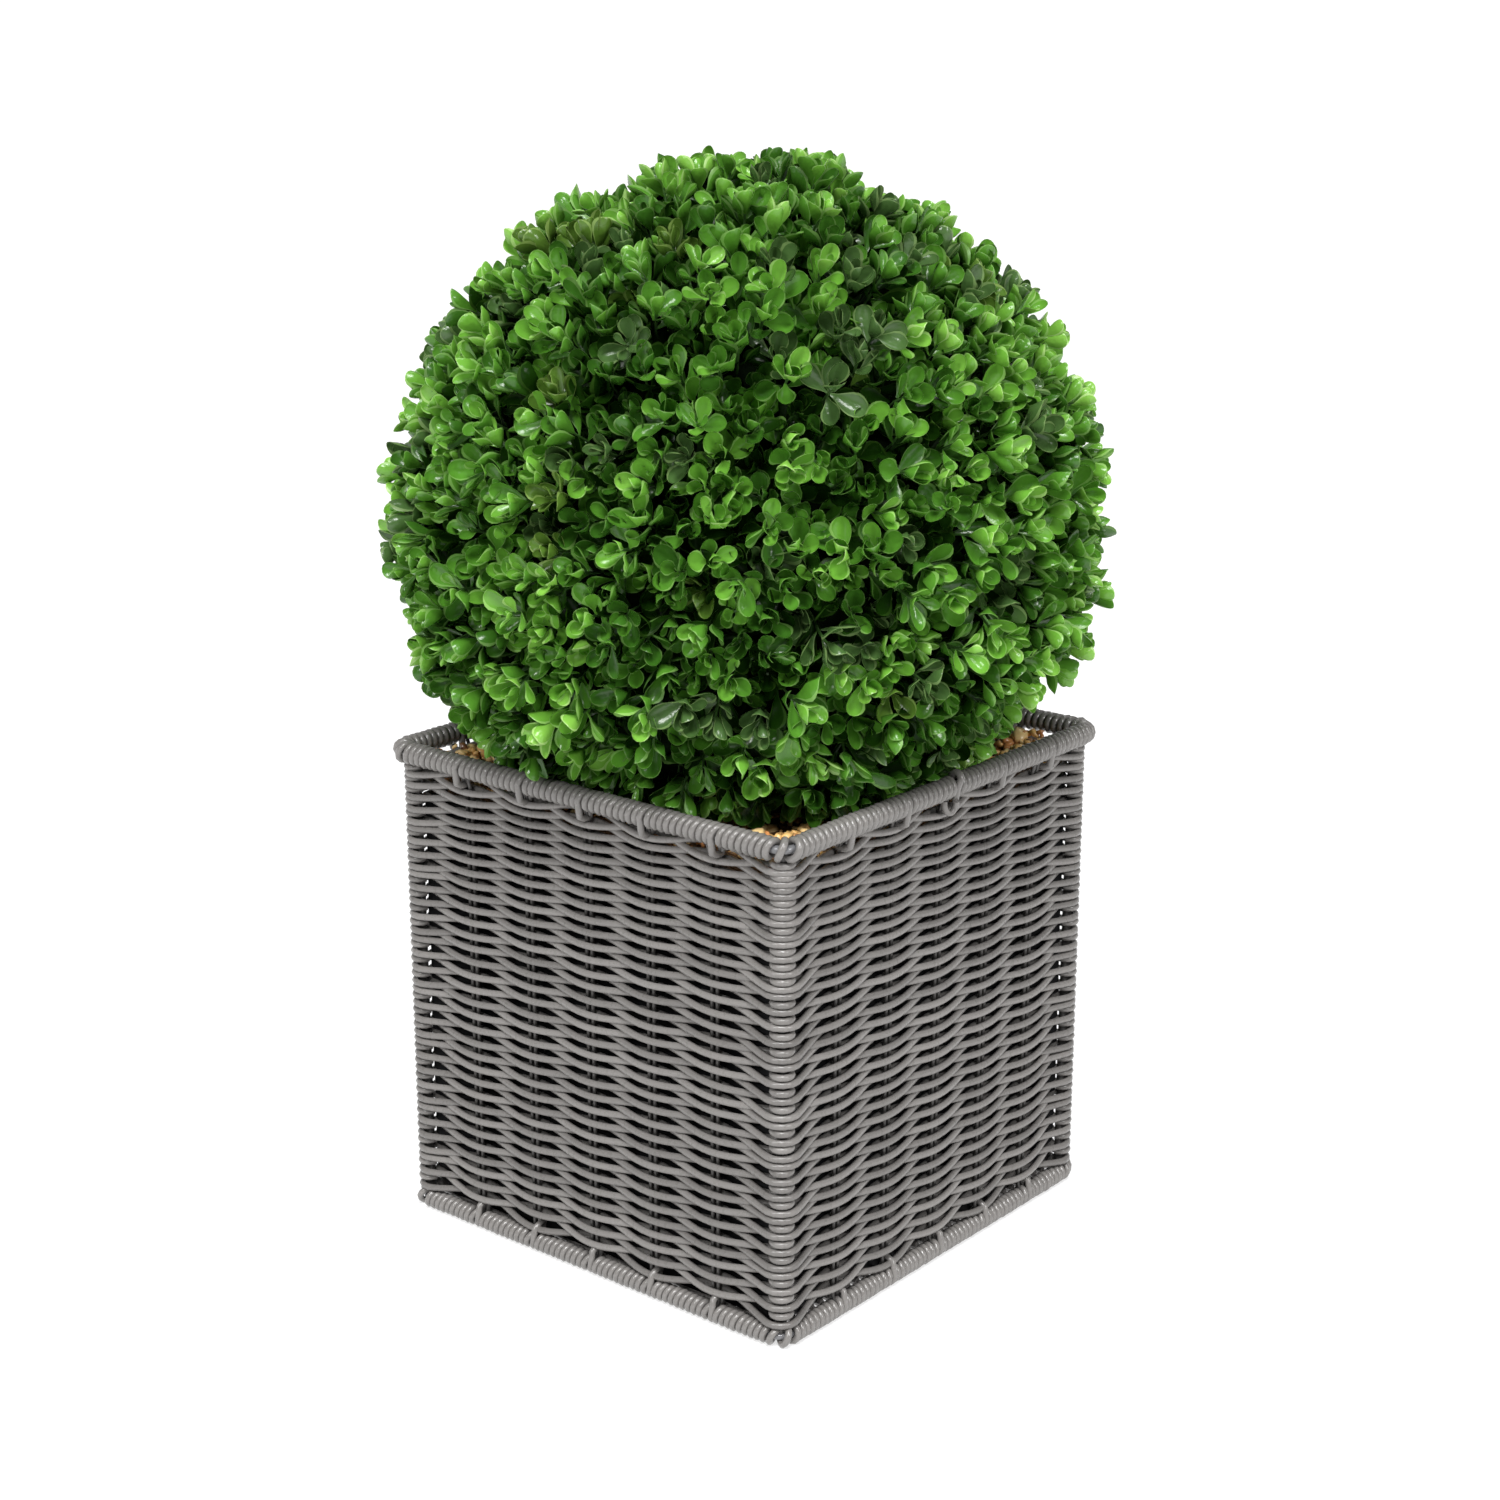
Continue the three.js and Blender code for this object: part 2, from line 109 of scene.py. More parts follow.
class Value:
    """A socket's number, which can stand in a sum and adds the Math nodes that it needs."""

    def __init__(self, nodes: "Nodes", socket: bpy.types.NodeSocket) -> None:
        """Keeps an output socket and the tree that new nodes go to."""
        self.nodes = nodes
        self.socket = socket

    def _maths(self, operation: str, first: object, second: object) -> "Value":
        """Returns the result of a new Math node on two numbers or values."""
        return self.nodes.node("ShaderNodeMath", {"operation": operation}, {0: first, 1: second})

    def __add__(self, other: object) -> "Value":
        """Returns the sum."""
        return self._maths("ADD", self, other)

    __radd__ = __add__

    def __mul__(self, other: object) -> "Value":
        """Returns the product."""
        return self._maths("MULTIPLY", self, other)

    __rmul__ = __mul__

    def __sub__(self, other: object) -> "Value":
        """Returns the difference."""
        return self._maths("SUBTRACT", self, other)

    def __rsub__(self, other: object) -> "Value":
        """Returns the difference the other way round."""
        return self._maths("SUBTRACT", other, self)

    def clamped(self) -> "Value":
        """Returns the value kept between 0 and 1."""
        limits = {"operation": "MULTIPLY", "use_clamp": True}
        return self.nodes.node("ShaderNodeMath", limits, {0: self, 1: 1.0})


class Nodes:
    """A node tree that is built up node by node."""

    def __init__(self, tree: bpy.types.NodeTree) -> None:
        """Keeps the tree that new nodes go to."""
        self.tree = tree

    def node(
        self,
        kind: str,
        settings: dict[str, object] | None = None,
        inputs: dict[int | str, object] | None = None,
        output: int | str = 0,
    ) -> Value:
        """Adds a node.

        Args:
            kind: the node's type.
            settings: its settings, which are set first; stops are a ramp's places and colours.
            inputs: values or links of its sockets.
            output: which of its outputs is returned.

        Returns:
            The chosen output.
        """
        made = self.tree.nodes.new(kind)
        for name, setting in (settings or {}).items():
            if name == "stops":
                self._set_stops(made.color_ramp, setting)
            else:
                setattr(made, name, setting)
        self.feed(made, inputs or {})
        return Value(self, made.outputs[output])

    def _set_stops(self, ramp: bpy.types.ColorRamp, stops: object) -> None:
        """Gives a ramp its stops.

        Args:
            ramp: the ramp.
            stops: pairs of a place and a colour.
        """
        for index, (place, colour) in enumerate(stops):
            if index < len(ramp.elements):
                ramp.elements[index].position = place
            else:
                ramp.elements.new(place)
            ramp.elements[index].color = (*colour, 1.0)

    def feed(self, node: bpy.types.Node, inputs: dict[int | str, object]) -> None:
        """Links or sets a node's sockets.

        Args:
            node: the node.
            inputs: for each socket a value to link, or a number or colour to set.
        """
        for place, value in inputs.items():
            socket = node.inputs[place]
            if isinstance(value, Value):
                self.tree.links.new(value.socket, socket)
            elif isinstance(value, tuple) and len(value) == 3 and len(socket.default_value) == 4:
                socket.default_value = (*value, 1.0)
            else:
                socket.default_value = value


class Shader(Nodes):
    """A node material with a Principled shader."""

    def __init__(self, name: str) -> None:
        """Starts the material.

        Args:
            name: its name.
        """
        self.material = bpy.data.materials.new(name)
        self.material.use_nodes = True
        super().__init__(self.material.node_tree)
        self.surface = self.tree.nodes["Principled BSDF"]

    def place(self, scale: tuple[float, float, float] = (1.0, 1.0, 1.0)) -> Value:
        """Returns Object coordinates, with a scale for each axis."""
        where = self.node("ShaderNodeTexCoord", output="Object")
        return self.node("ShaderNodeMapping", {}, {"Vector": where, "Scale": scale})

    def noise(self, where: Value, scale: float, detail: float = 2.0) -> Value:
        """Returns a cloudy pattern from 0 to 1, with scale clouds for each metre."""
        inputs = {"Vector": where, "Scale": scale, "Detail": detail}
        return self.node("ShaderNodeTexNoise", {}, inputs, "Fac")

    def blend(self, amount: object, first: object, second: object) -> Value:
        """Returns a mix of two colours: the first at an amount of 0, the second at 1."""
        settings = {"data_type": "RGBA", "blend_type": "MIX"}
        return self.node("ShaderNodeMix", settings, {0: amount, 6: first, 7: second}, 2)

    def bumped(self, height: Value, strength: float, depth: float) -> None:
        """Gives the surface a relief after the pattern height, depth metres deep."""
        inputs = {"Strength": strength, "Distance": depth, "Height": height}
        self.dress({"Normal": self.node("ShaderNodeBump", {}, inputs, "Normal")})

    def dress(self, sockets: dict[str, object]) -> None:
        """Sets or links sockets of the Principled shader by their names."""
        self.feed(self.surface, sockets)


@dataclass(frozen=True)
class CaneFinish:
    """Round synthetic cane: satin plastic with a faint mottle, each strand of its own shade."""

    name: str = "grey_cane"
    dark: tuple[float, float, float] = (0.118, 0.111, 0.105)
    light: tuple[float, float, float] = (0.245, 0.232, 0.221)
    roughness: float = 0.28
    coat: float = 0.15
    mottle_scale: float = 420.0
    weather_scale: float = 22.0
    grain_scale: float = 1500.0

    def material(self) -> bpy.types.Material:
        """Mixes the finish; the strands carry their shade in the attribute tone.

        Returns:
            The material.
        """
        shader = Shader(self.name)
        where = shader.place()
        tone = shader.node("ShaderNodeAttribute", {"attribute_name": "tone"}, output="Fac")
        mottle = shader.noise(where, self.mottle_scale, 3.0)
        weather = shader.noise(where, self.weather_scale)
        amount = (tone * 0.5 + mottle * 0.3 + weather * 0.35 - 0.08).clamped()
        grain = shader.noise(where, self.grain_scale, 2.0)
        shader.dress({
            "Base Color": shader.blend(amount, self.dark, self.light),
            "Roughness": mottle * 0.22 + (self.roughness - 0.1),
            "Specular IOR Level": 0.5,
            "Coat Weight": self.coat,
            "Coat Roughness": 0.18,
        })
        shader.bumped(grain * 0.5 + mottle * 0.7, 0.22, 0.25 * MM)
        return shader.material


@dataclass(frozen=True)
class WireFinish:
    """Powder-coated steel wire."""

    name: str = "coated_wire"
    colour: tuple[float, float, float] = (0.105, 0.1, 0.096)
    speck_shade: float = 0.7  # how bright the darkest specks are
    speck_scale: float = 900.0

    def material(self) -> bpy.types.Material:
        """Mixes the finish.

        Returns:
            The material.
        """
        shader = Shader(self.name)
        speck = shader.noise(shader.place(), self.speck_scale, 2.0)
        darker = tuple(channel * self.speck_shade for channel in self.colour)
        shader.dress({
            "Base Color": shader.blend(speck, darker, self.colour),
            "Roughness": speck * 0.2 + 0.3,
            "Metallic": 0.35,
        })
        shader.bumped(speck, 0.2, 0.2 * MM)
        return shader.material


@dataclass(frozen=True)
class FilmFinish:
    """Black plastic film, a little creased."""

    name: str = "black_film"
    colour: tuple[float, float, float] = (0.006, 0.006, 0.0065)
    crease_shade: float = 2.2  # how bright the palest creases are
    crease_scale: float = 60.0
    crease_stretch: tuple[float, float, float] = (1.0, 1.0, 0.35)

    def material(self) -> bpy.types.Material:
        """Mixes the finish.

        Returns:
            The material.
        """
        shader = Shader(self.name)
        where = shader.place(self.crease_stretch)
        crease = shader.noise(where, self.crease_scale, 4.0)
        paler = tuple(channel * self.crease_shade for channel in self.colour)
        shader.dress({
            "Base Color": shader.blend(crease, self.colour, paler),
            "Roughness": crease * 0.3 + 0.5,
            "Specular IOR Level": 0.15,
        })
        shader.bumped(crease, 0.5, 1.2 * MM)
        return shader.material


@dataclass(frozen=True)
class CrumbFinish:
    """A mottled, crumbly surface, such as foam, bark dust or a stick's bark."""

    name: str
    dark: tuple[float, float, float]
    light: tuple[float, float, float]
    scale: float
    stretch: tuple[float, float, float] = (1.0, 1.0, 1.0)
    depth: float = 1.0 * MM
    gloss: float = 0.5

    def material(self) -> bpy.types.Material:
        """Mixes the finish.

        Returns:
            The material.
        """
        shader = Shader(self.name)
        where = shader.place(self.stretch)
        clouds = shader.noise(where, self.scale, 4.0)
        cells = shader.node(
            "ShaderNodeTexVoronoi", {}, {"Vector": where, "Scale": self.scale * 1.7}, "Distance"
        )
        amount = ((clouds - 0.3) * 1.6 + cells * 0.3).clamped()
        shader.dress({
            "Base Color": shader.blend(amount, self.dark, self.light),
            "Roughness": clouds * 0.3 + 0.6,
            "Specular IOR Level": self.gloss,
        })
        shader.bumped(clouds + cells * 0.6, 0.7, self.depth)
        return shader.material


@dataclass(frozen=True)
class PlainFinish:
    """A plain colour over a fine relief, for small things that are made by the hundred."""

    name: str
    colour: tuple[float, float, float]
    roughness: float = 0.4
    coat: float = 0.0
    relief: float = 0.15
    grain: float = 500.0
    gloss: float = 0.5

    def material(self) -> bpy.types.Material:
        """Mixes the finish.

        Returns:
            The material.
        """
        shader = Shader(self.name)
        shader.dress({
            "Base Color": self.colour,
            "Roughness": self.roughness,
            "Specular IOR Level": self.gloss,
            "Coat Weight": self.coat,
            "Coat Roughness": 0.25,
        })
        shader.bumped(shader.noise(shader.place(), self.grain, 2.0), self.relief, 0.4 * MM)
        return shader.material


# ---- Making meshes ------------------------------------------------------------------------


def tubes(
    name: str,
    routes: Sequence[np.ndarray],
    radius: float,
    closed: bool,
    resolution: int = 2,
    seed: int = 1,
) -> bpy.types.Object:
    """Round tubes along routes, as one mesh with a shade for each tube.

    Args:
        name: the piece's name.
        routes: points along each tube, one row each.
        radius: the tubes' radius.
        closed: whether each tube ends where it starts.
        resolution: how round they are.
        seed: seed of the shades.

    Returns:
        The mesh object.
    """
    curve = bpy.data.curves.new(name, "CURVE")
    curve.dimensions = "3D"
    curve.bevel_depth = radius
    curve.bevel_resolution = resolution
    curve.use_fill_caps = not closed
    for route in routes:
        spline = curve.splines.new("POLY")
        spline.points.add(len(route) - 1)
        spline.points.foreach_set("co", np.column_stack([route, np.ones(len(route))]).ravel())
        spline.use_cyclic_u = closed
    pattern = bpy.data.objects.new(name, curve)
    bpy.context.scene.collection.objects.link(pattern)
    depsgraph = bpy.context.evaluated_depsgraph_get()
    mesh = bpy.data.meshes.new_from_object(pattern.evaluated_get(depsgraph))
    bpy.data.objects.remove(pattern)
    bpy.data.curves.remove(curve)
    mesh.name = name
    shades = np.random.default_rng(seed).random(len(routes))
    counts = [len(route) * (4 + 2 * resolution) for route in routes]
    tones = np.repeat(shades, counts)
    attribute = mesh.attributes.new("tone", "FLOAT", "POINT")
    attribute.data.foreach_set("value", np.resize(tones, len(mesh.vertices)))
    mesh.shade_smooth()
    return link(name, mesh)


def link(name: str, mesh: bpy.types.Mesh) -> bpy.types.Object:
    """Puts a mesh in the scene.

    Args:
        name: the piece's name.
        mesh: its mesh.

    Returns:
        The mesh object.
    """
    piece = bpy.data.objects.new(name, mesh)
    bpy.context.scene.collection.objects.link(piece)
    return piece


def from_bmesh(name: str, made: bmesh.types.BMesh, smooth: bool = True) -> bpy.types.Object:
    """Ends a bmesh as a piece.

    Args:
        name: the piece's name.
        made: the bmesh, which is freed.
        smooth: whether it is shaded smooth.

    Returns:
        The mesh object.
    """
    bmesh.ops.recalc_face_normals(made, faces=made.faces)
    mesh = bpy.data.meshes.new(name)
    made.to_mesh(mesh)
    made.free()
    if smooth:
        mesh.shade_smooth()
    return link(name, mesh)


def slice_across(made: bmesh.types.BMesh, place: float, axis: Sequence[float]) -> None:
    """Cuts all faces of a bmesh at a place along an axis, and keeps both sides."""
    everything = made.verts[:] + made.edges[:] + made.faces[:]
    bmesh.ops.bisect_plane(made, geom=everything, plane_co=Vector(axis) * place, plane_no=axis)


@dataclass
class Pattern:
    """One small shape that is copied many times."""

    points: np.ndarray
    corners: np.ndarray  # vertex of each face corner
    sizes: np.ndarray  # corners of each face
    marks: np.ndarray  # a number for each face, which picks its finish

    @classmethod
    def cut(cls, made: bmesh.types.BMesh) -> "Pattern":
        """Takes the shape out of a bmesh, which is freed.

        Args:
            made: the bmesh; its faces' material indices become the marks.

        Returns:
            The pattern.
        """
        made.verts.index_update()
        points = np.array([vertex.co[:] for vertex in made.verts])
        corners = np.array([vertex.index for face in made.faces for vertex in face.verts])
        sizes = np.array([len(face.verts) for face in made.faces])
        marks = np.array([face.material_index for face in made.faces])
        made.free()
        return cls(points, corners, sizes, marks)


@dataclass
class Stamper:
    """Joins copies of patterns into meshes."""

    points: list[np.ndarray] = field(default_factory=list)
    corners: list[np.ndarray] = field(default_factory=list)
    sizes: list[np.ndarray] = field(default_factory=list)
    finishes: list[np.ndarray] = field(default_factory=list)
    count: int = 0

    def stamp(
        self, pattern: Pattern, frames: np.ndarray, starts: np.ndarray, finish: np.ndarray
    ) -> None:
        """Adds copies of a pattern.

        Args:
            pattern: the shape.
            frames: a 3 by 3 matrix for each copy, whose columns are its axes.
            starts: where each copy's origin goes.
            finish: the finish index of each copy's faces marked 0; a face marked n adds n.
        """
        copies = len(starts)
        if not copies:
            return
        placed = np.einsum("cij,pj->cpi", frames, pattern.points) + starts[:, None, :]
        per_copy = len(pattern.points)
        shift = self.count + np.arange(copies)[:, None] * per_copy
        self.points.append(placed.reshape(-1, 3))
        self.corners.append((pattern.corners[None, :] + shift).ravel())
        self.sizes.append(np.tile(pattern.sizes, copies))
        self.finishes.append((finish[:, None] + pattern.marks[None, :]).ravel())
        self.count += copies * per_copy

    def piece(self, name: str, materials: Iterable[bpy.types.Material]) -> bpy.types.Object:
        """Ends the copies as one piece.

        Args:
            name: the piece's name.
            materials: the finishes that the indices stand for.

        Returns:
            The mesh object.
        """
        points = np.concatenate(self.points)
        corners = np.concatenate(self.corners)
        sizes = np.concatenate(self.sizes)
        mesh = bpy.data.meshes.new(name)
        mesh.vertices.add(len(points))
        mesh.vertices.foreach_set("co", points.ravel())
        mesh.loops.add(len(corners))
        mesh.loops.foreach_set("vertex_index", corners)
        mesh.polygons.add(len(sizes))
        mesh.polygons.foreach_set("loop_start", np.cumsum(sizes) - sizes)
        for material in materials:
            mesh.materials.append(material)
        mesh.polygons.foreach_set("material_index", np.concatenate(self.finishes))
        mesh.update(calc_edges=True)
        mesh.validate()
        mesh.shade_smooth()
        return link(name, mesh)


def seat(
    piece: bpy.types.Object,
    replaced: Sequence[str] = (),
    material: bpy.types.Material | None = None,
) -> bpy.types.Object:
    """Fixes a finished piece to the part.

    Args:
        piece: the piece.
        replaced: the solids that it stands for.
        material: its material, if it hasn't got one yet.

    Returns:
        The piece.
    """
    if material is not None:
        piece.data.materials.clear()
        piece.data.materials.append(material)
    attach(piece, "root")
    if replaced:
        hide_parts(*replaced)
    log.info("%s: %d faces", piece.name, len(piece.data.polygons))
    return piece


def unit(vectors: np.ndarray) -> np.ndarray:
    """Returns the vectors with a length of 1."""
    return vectors / np.linalg.norm(vectors, axis=-1, keepdims=True)


# ---- Planter ------------------------------------------------------------------------------


@dataclass(frozen=True)
class SquareRoute:
    """The middle line of something that runs round the planter, measured in bays.

    Bay 0 starts in the middle of the corner at -X -Y, and the bays run counter-clockwise.
    """

    half_width: float
    corner: float

    @property
    def bay(self) -> float:
        """Length of one bay along the line."""
        straight = 2 * (self.half_width - self.corner)
        return (straight + self.corner * math.pi / 2) / BAYS

    def at(self, bays: np.ndarray) -> tuple[np.ndarray, np.ndarray]:
        """Points on the line, at height 0, and the outward directions there.

        Args:
            bays: places along the line, in bays.

        Returns:
            The points and the directions, one row each.
        """
        bays = np.mod(np.asarray(bays, float), SIDES * BAYS)
        side = np.floor(bays / BAYS)
        run = (bays - side * BAYS) * self.bay
        arc = self.corner * math.pi / 4
        inner = self.half_width - self.corner
        straight = 2 * inner
        before = np.clip(arc - run, 0, None) / self.corner
        after = np.clip(run - arc - straight, 0, None) / self.corner
        angle = -math.pi / 2 - before + after
        middle = -inner + np.clip(run - arc, 0, straight)
        x = middle + self.corner * np.cos(angle)
        y = -inner + self.corner * np.sin(angle)
        turn = side * math.pi / 2
        cos, sin = np.cos(turn), np.sin(turn)
        points = np.column_stack([x * cos - y * sin, x * sin + y * cos, np.zeros_like(x)])
        facing = np.column_stack([np.cos(angle + turn), np.sin(angle + turn), np.zeros_like(x)])
        return points, facing


def corner_distance(bays: np.ndarray) -> np.ndarray:
    """Returns how many bays each place is from the nearest corner."""
    within = np.mod(bays, BAYS)
    return np.minimum(within, BAYS - within)


@dataclass
class WovenWall:
    """The four woven sides: rows of cane that pass in front of every other upright."""

    rows: int = 67
    steps: int = 8  # points in a bay
    corner: float = 5 * MM  # radius of the rows' middle line
    outset: float = 0.1 * MM  # how far the rows stand out from the solid wall
    first_row: float = 4.8 * MM  # height of the lowest row over the wall's lower edge
    last_row: float = 0.2 * MM  # depth of the highest row under the wall's upper edge
    reach: float = 2.85 * MM  # how far a row swings out past an upright, and in
    corner_reach: float = 4.45 * MM  # the same at the corner posts
    corner_swing: float = 0.3  # how far from a corner that fades, in bays
    sag: float = 1.15 * MM  # how much lower a row hangs where it is in front
    rim_sag: float = 1.5 * MM  # what is added to that next to the two rims
    rim_sag_rows: float = 2.2  # rows over which that fades
    unevenness: float = 0.2 * MM  # how much the rows' heights differ from even ones
    wander: float = 0.45 * MM  # how far a row drifts up and down
    waves: int = 5  # long waves that its drift is made of
    wander_turn: float = 4.3  # how much the waves change from the lowest row to the highest
    wander_drift: float = 3.0  # and how far they move along
    calm_rows: int = 4  # rows next to a rim that drift less
    loose_rows: int = 38  # the rows under this one lie evenly, the ones above ever closer
    tight_gap: float = 0.76  # the top gap between two rows, as a share of the bottom one
    bare_gap: float = 0.47  # a gap at a corner without a loop of cane, in the same way
    bare_pull: float = 0.85  # how far from a corner its own gaps fade, in bays
    post_radius: float = 2.75 * MM
    loop_turn: float = math.radians(128)  # how far a loop goes round its post, either way
    loop_lift: float = 0.2 * MM  # how high it lies over the middle of its gap
    last_loop: float = 0.85 * CANE  # height of the highest loop over the highest row
    bare_rows: tuple[tuple[int, ...], ...] = (  # rows without a loop, for each corner
        (5, 13, 23, 31, 39, 49, 57),
        (7, 15, 23, 29, 37, 47, 55),
        (9, 17, 25, 33, 41, 47, 57),
        (7, 13, 21, 31, 39, 45, 55),
    )
    corner_steps: np.ndarray = field(default_factory=lambda: np.linspace(-0.16, 0.16, 7))
    route: SquareRoute = field(init=False)
    bottom: float = field(init=False)
    top: float = field(init=False)

    def __post_init__(self) -> None:
        """Takes the sizes from the solid wall."""
        low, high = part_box("woven_wall")
        middle = high.x - CANE / 2 - self.reach
        self.route = SquareRoute(middle + self.outset, self.corner)
        self.bottom = low.z + self.first_row
        self.top = high.z - self.last_row
        random = np.random.default_rng(7)
        self.phases = random.uniform(0, TAU, (self.waves, 2))
        self.row_shift = random.normal(0, self.unevenness, self.rows)

    def climb(self, bare: Sequence[int] = ()) -> np.ndarray:
        """Heights of the rows, without their sag.

        Args:
            bare: rows that are left out of the gap between their neighbours.

        Returns:
            A height for each row.
        """
        places = (0, self.loose_rows, self.rows - 1)
        gaps = np.interp(np.arange(self.rows - 1), places, (1.0, 1.0, self.tight_gap))
        for row in bare:
            gaps[row - 1] *= self.bare_gap
            gaps[row] *= self.bare_gap
        climb = np.concatenate([[0], np.cumsum(gaps)])
        return self.bottom + climb / climb[-1] * (self.top - self.bottom)

    def row_sag(self, row: int) -> float:
        """Returns how much lower a row hangs where it is in front."""
        edge = min(row, self.rows - 1 - row)
        return self.sag + self.rim_sag * math.exp(-edge / self.rim_sag_rows)

    def heights(self, row: int, bays: np.ndarray, swing: np.ndarray) -> np.ndarray:
        """Heights along a row.

        Args:
            row: the row's number, from the bottom.
            bays: places along it.
            swing: 1 where it is in front, -1 where it is behind.

        Returns:
            The heights.
        """
        plain = self.climb()[row] + self.row_shift[row]
        pull = np.exp(-((corner_distance(bays) / self.bare_pull) ** 2))
        corners = np.array([self.climb(bare)[row] for bare in self.bare_rows])
        nearest = np.mod(np.round(bays / BAYS), SIDES).astype(int)
        height = plain * (1 - pull) + corners[nearest] * pull
        share = row / (self.rows - 1)
        around = bays * TAU / (SIDES * BAYS)
        wander = sum(
            math.sin(self.wander_turn * number * share + strength)
            * np.sin(around * (number + 2) + start + self.wander_drift * share)
            for number, (strength, start) in enumerate(self.phases)
        )
        edge = min(row, self.rows - 1 - row)
        room = min(1.0, (edge + 0.5) / self.calm_rows)
        return height + wander * self.wander * room / 2 - swing * self.row_sag(row)

    def row(self, row: int) -> np.ndarray:
        """The route of one row of cane.

        Args:
            row: the row's number, from the bottom.

        Returns:
            Its points.
        """
        even = np.arange(SIDES * BAYS * self.steps) / self.steps
        near = np.concatenate([BAYS * corner + self.corner_steps for corner in range(SIDES)])
        bays = np.unique(np.mod(np.concatenate([even, near]), SIDES * BAYS).round(6))
        swing = np.cos(math.pi * bays) * (1 if row % 2 == 0 else -1)
        pull = np.exp(-((corner_distance(bays) / self.corner_swing) ** 2))
        reach = self.reach * (1 - pull) + self.corner_reach * pull
        points, facing = self.route.at(bays)
        points = points + facing * (reach * swing)[:, None]
        points[:, 2] = self.heights(row, bays, swing)
        return points

    def corner_loops(self) -> list[np.ndarray]:
        """The short loops of cane that fill the gaps between rows at the corner posts.

        Returns:
            The points of each loop.
        """
        loops = []
        radius = self.post_radius + CANE / 2
        angles = np.linspace(-self.loop_turn, self.loop_turn, 17)
        for corner, bare in enumerate(self.bare_rows):
            post, facing = self.route.at(np.array([corner * BAYS]))
            outward = math.atan2(facing[0][1], facing[0][0])
            climb = self.climb(bare)
            heights = [climb[row] - self.row_sag(row)
                       for row in range(1, self.rows - 1, 2) if row not in bare]
            heights.append(climb[-1] - self.row_sag(self.rows - 1) + self.last_loop)
            for height in heights:
                loops.append(np.column_stack([
                    post[0][0] + radius * np.cos(outward + angles),
                    post[0][1] + radius * np.sin(outward + angles),
                    np.full_like(angles, height + self.loop_lift),
                ]))
        return loops

    def build(self, cane: bpy.types.Material) -> None:
        """Builds the rows in front at the corners, the rows behind, and the corner loops.

        Args:
            cane: the cane's material.
        """
        rows = [self.row(row) for row in range(self.rows)]
        front = tubes("weave_corner_rows", rows[0::2], CANE / 2, True, seed=3)
        behind = tubes("weave_inner_rows", rows[1::2], CANE / 2, True, seed=4)
        loops = tubes("weave_corner_loops", self.corner_loops(), CANE / 2, False, seed=5)
        seat(front, ["woven_wall"], cane)
        seat(behind, ["woven_wall"], cane)
        seat(loops, [], cane)


class LoopSide(Enum):
    """Which way the long loops at the uprights reach out of a rim."""

    DOWN = -1
    UP = 1


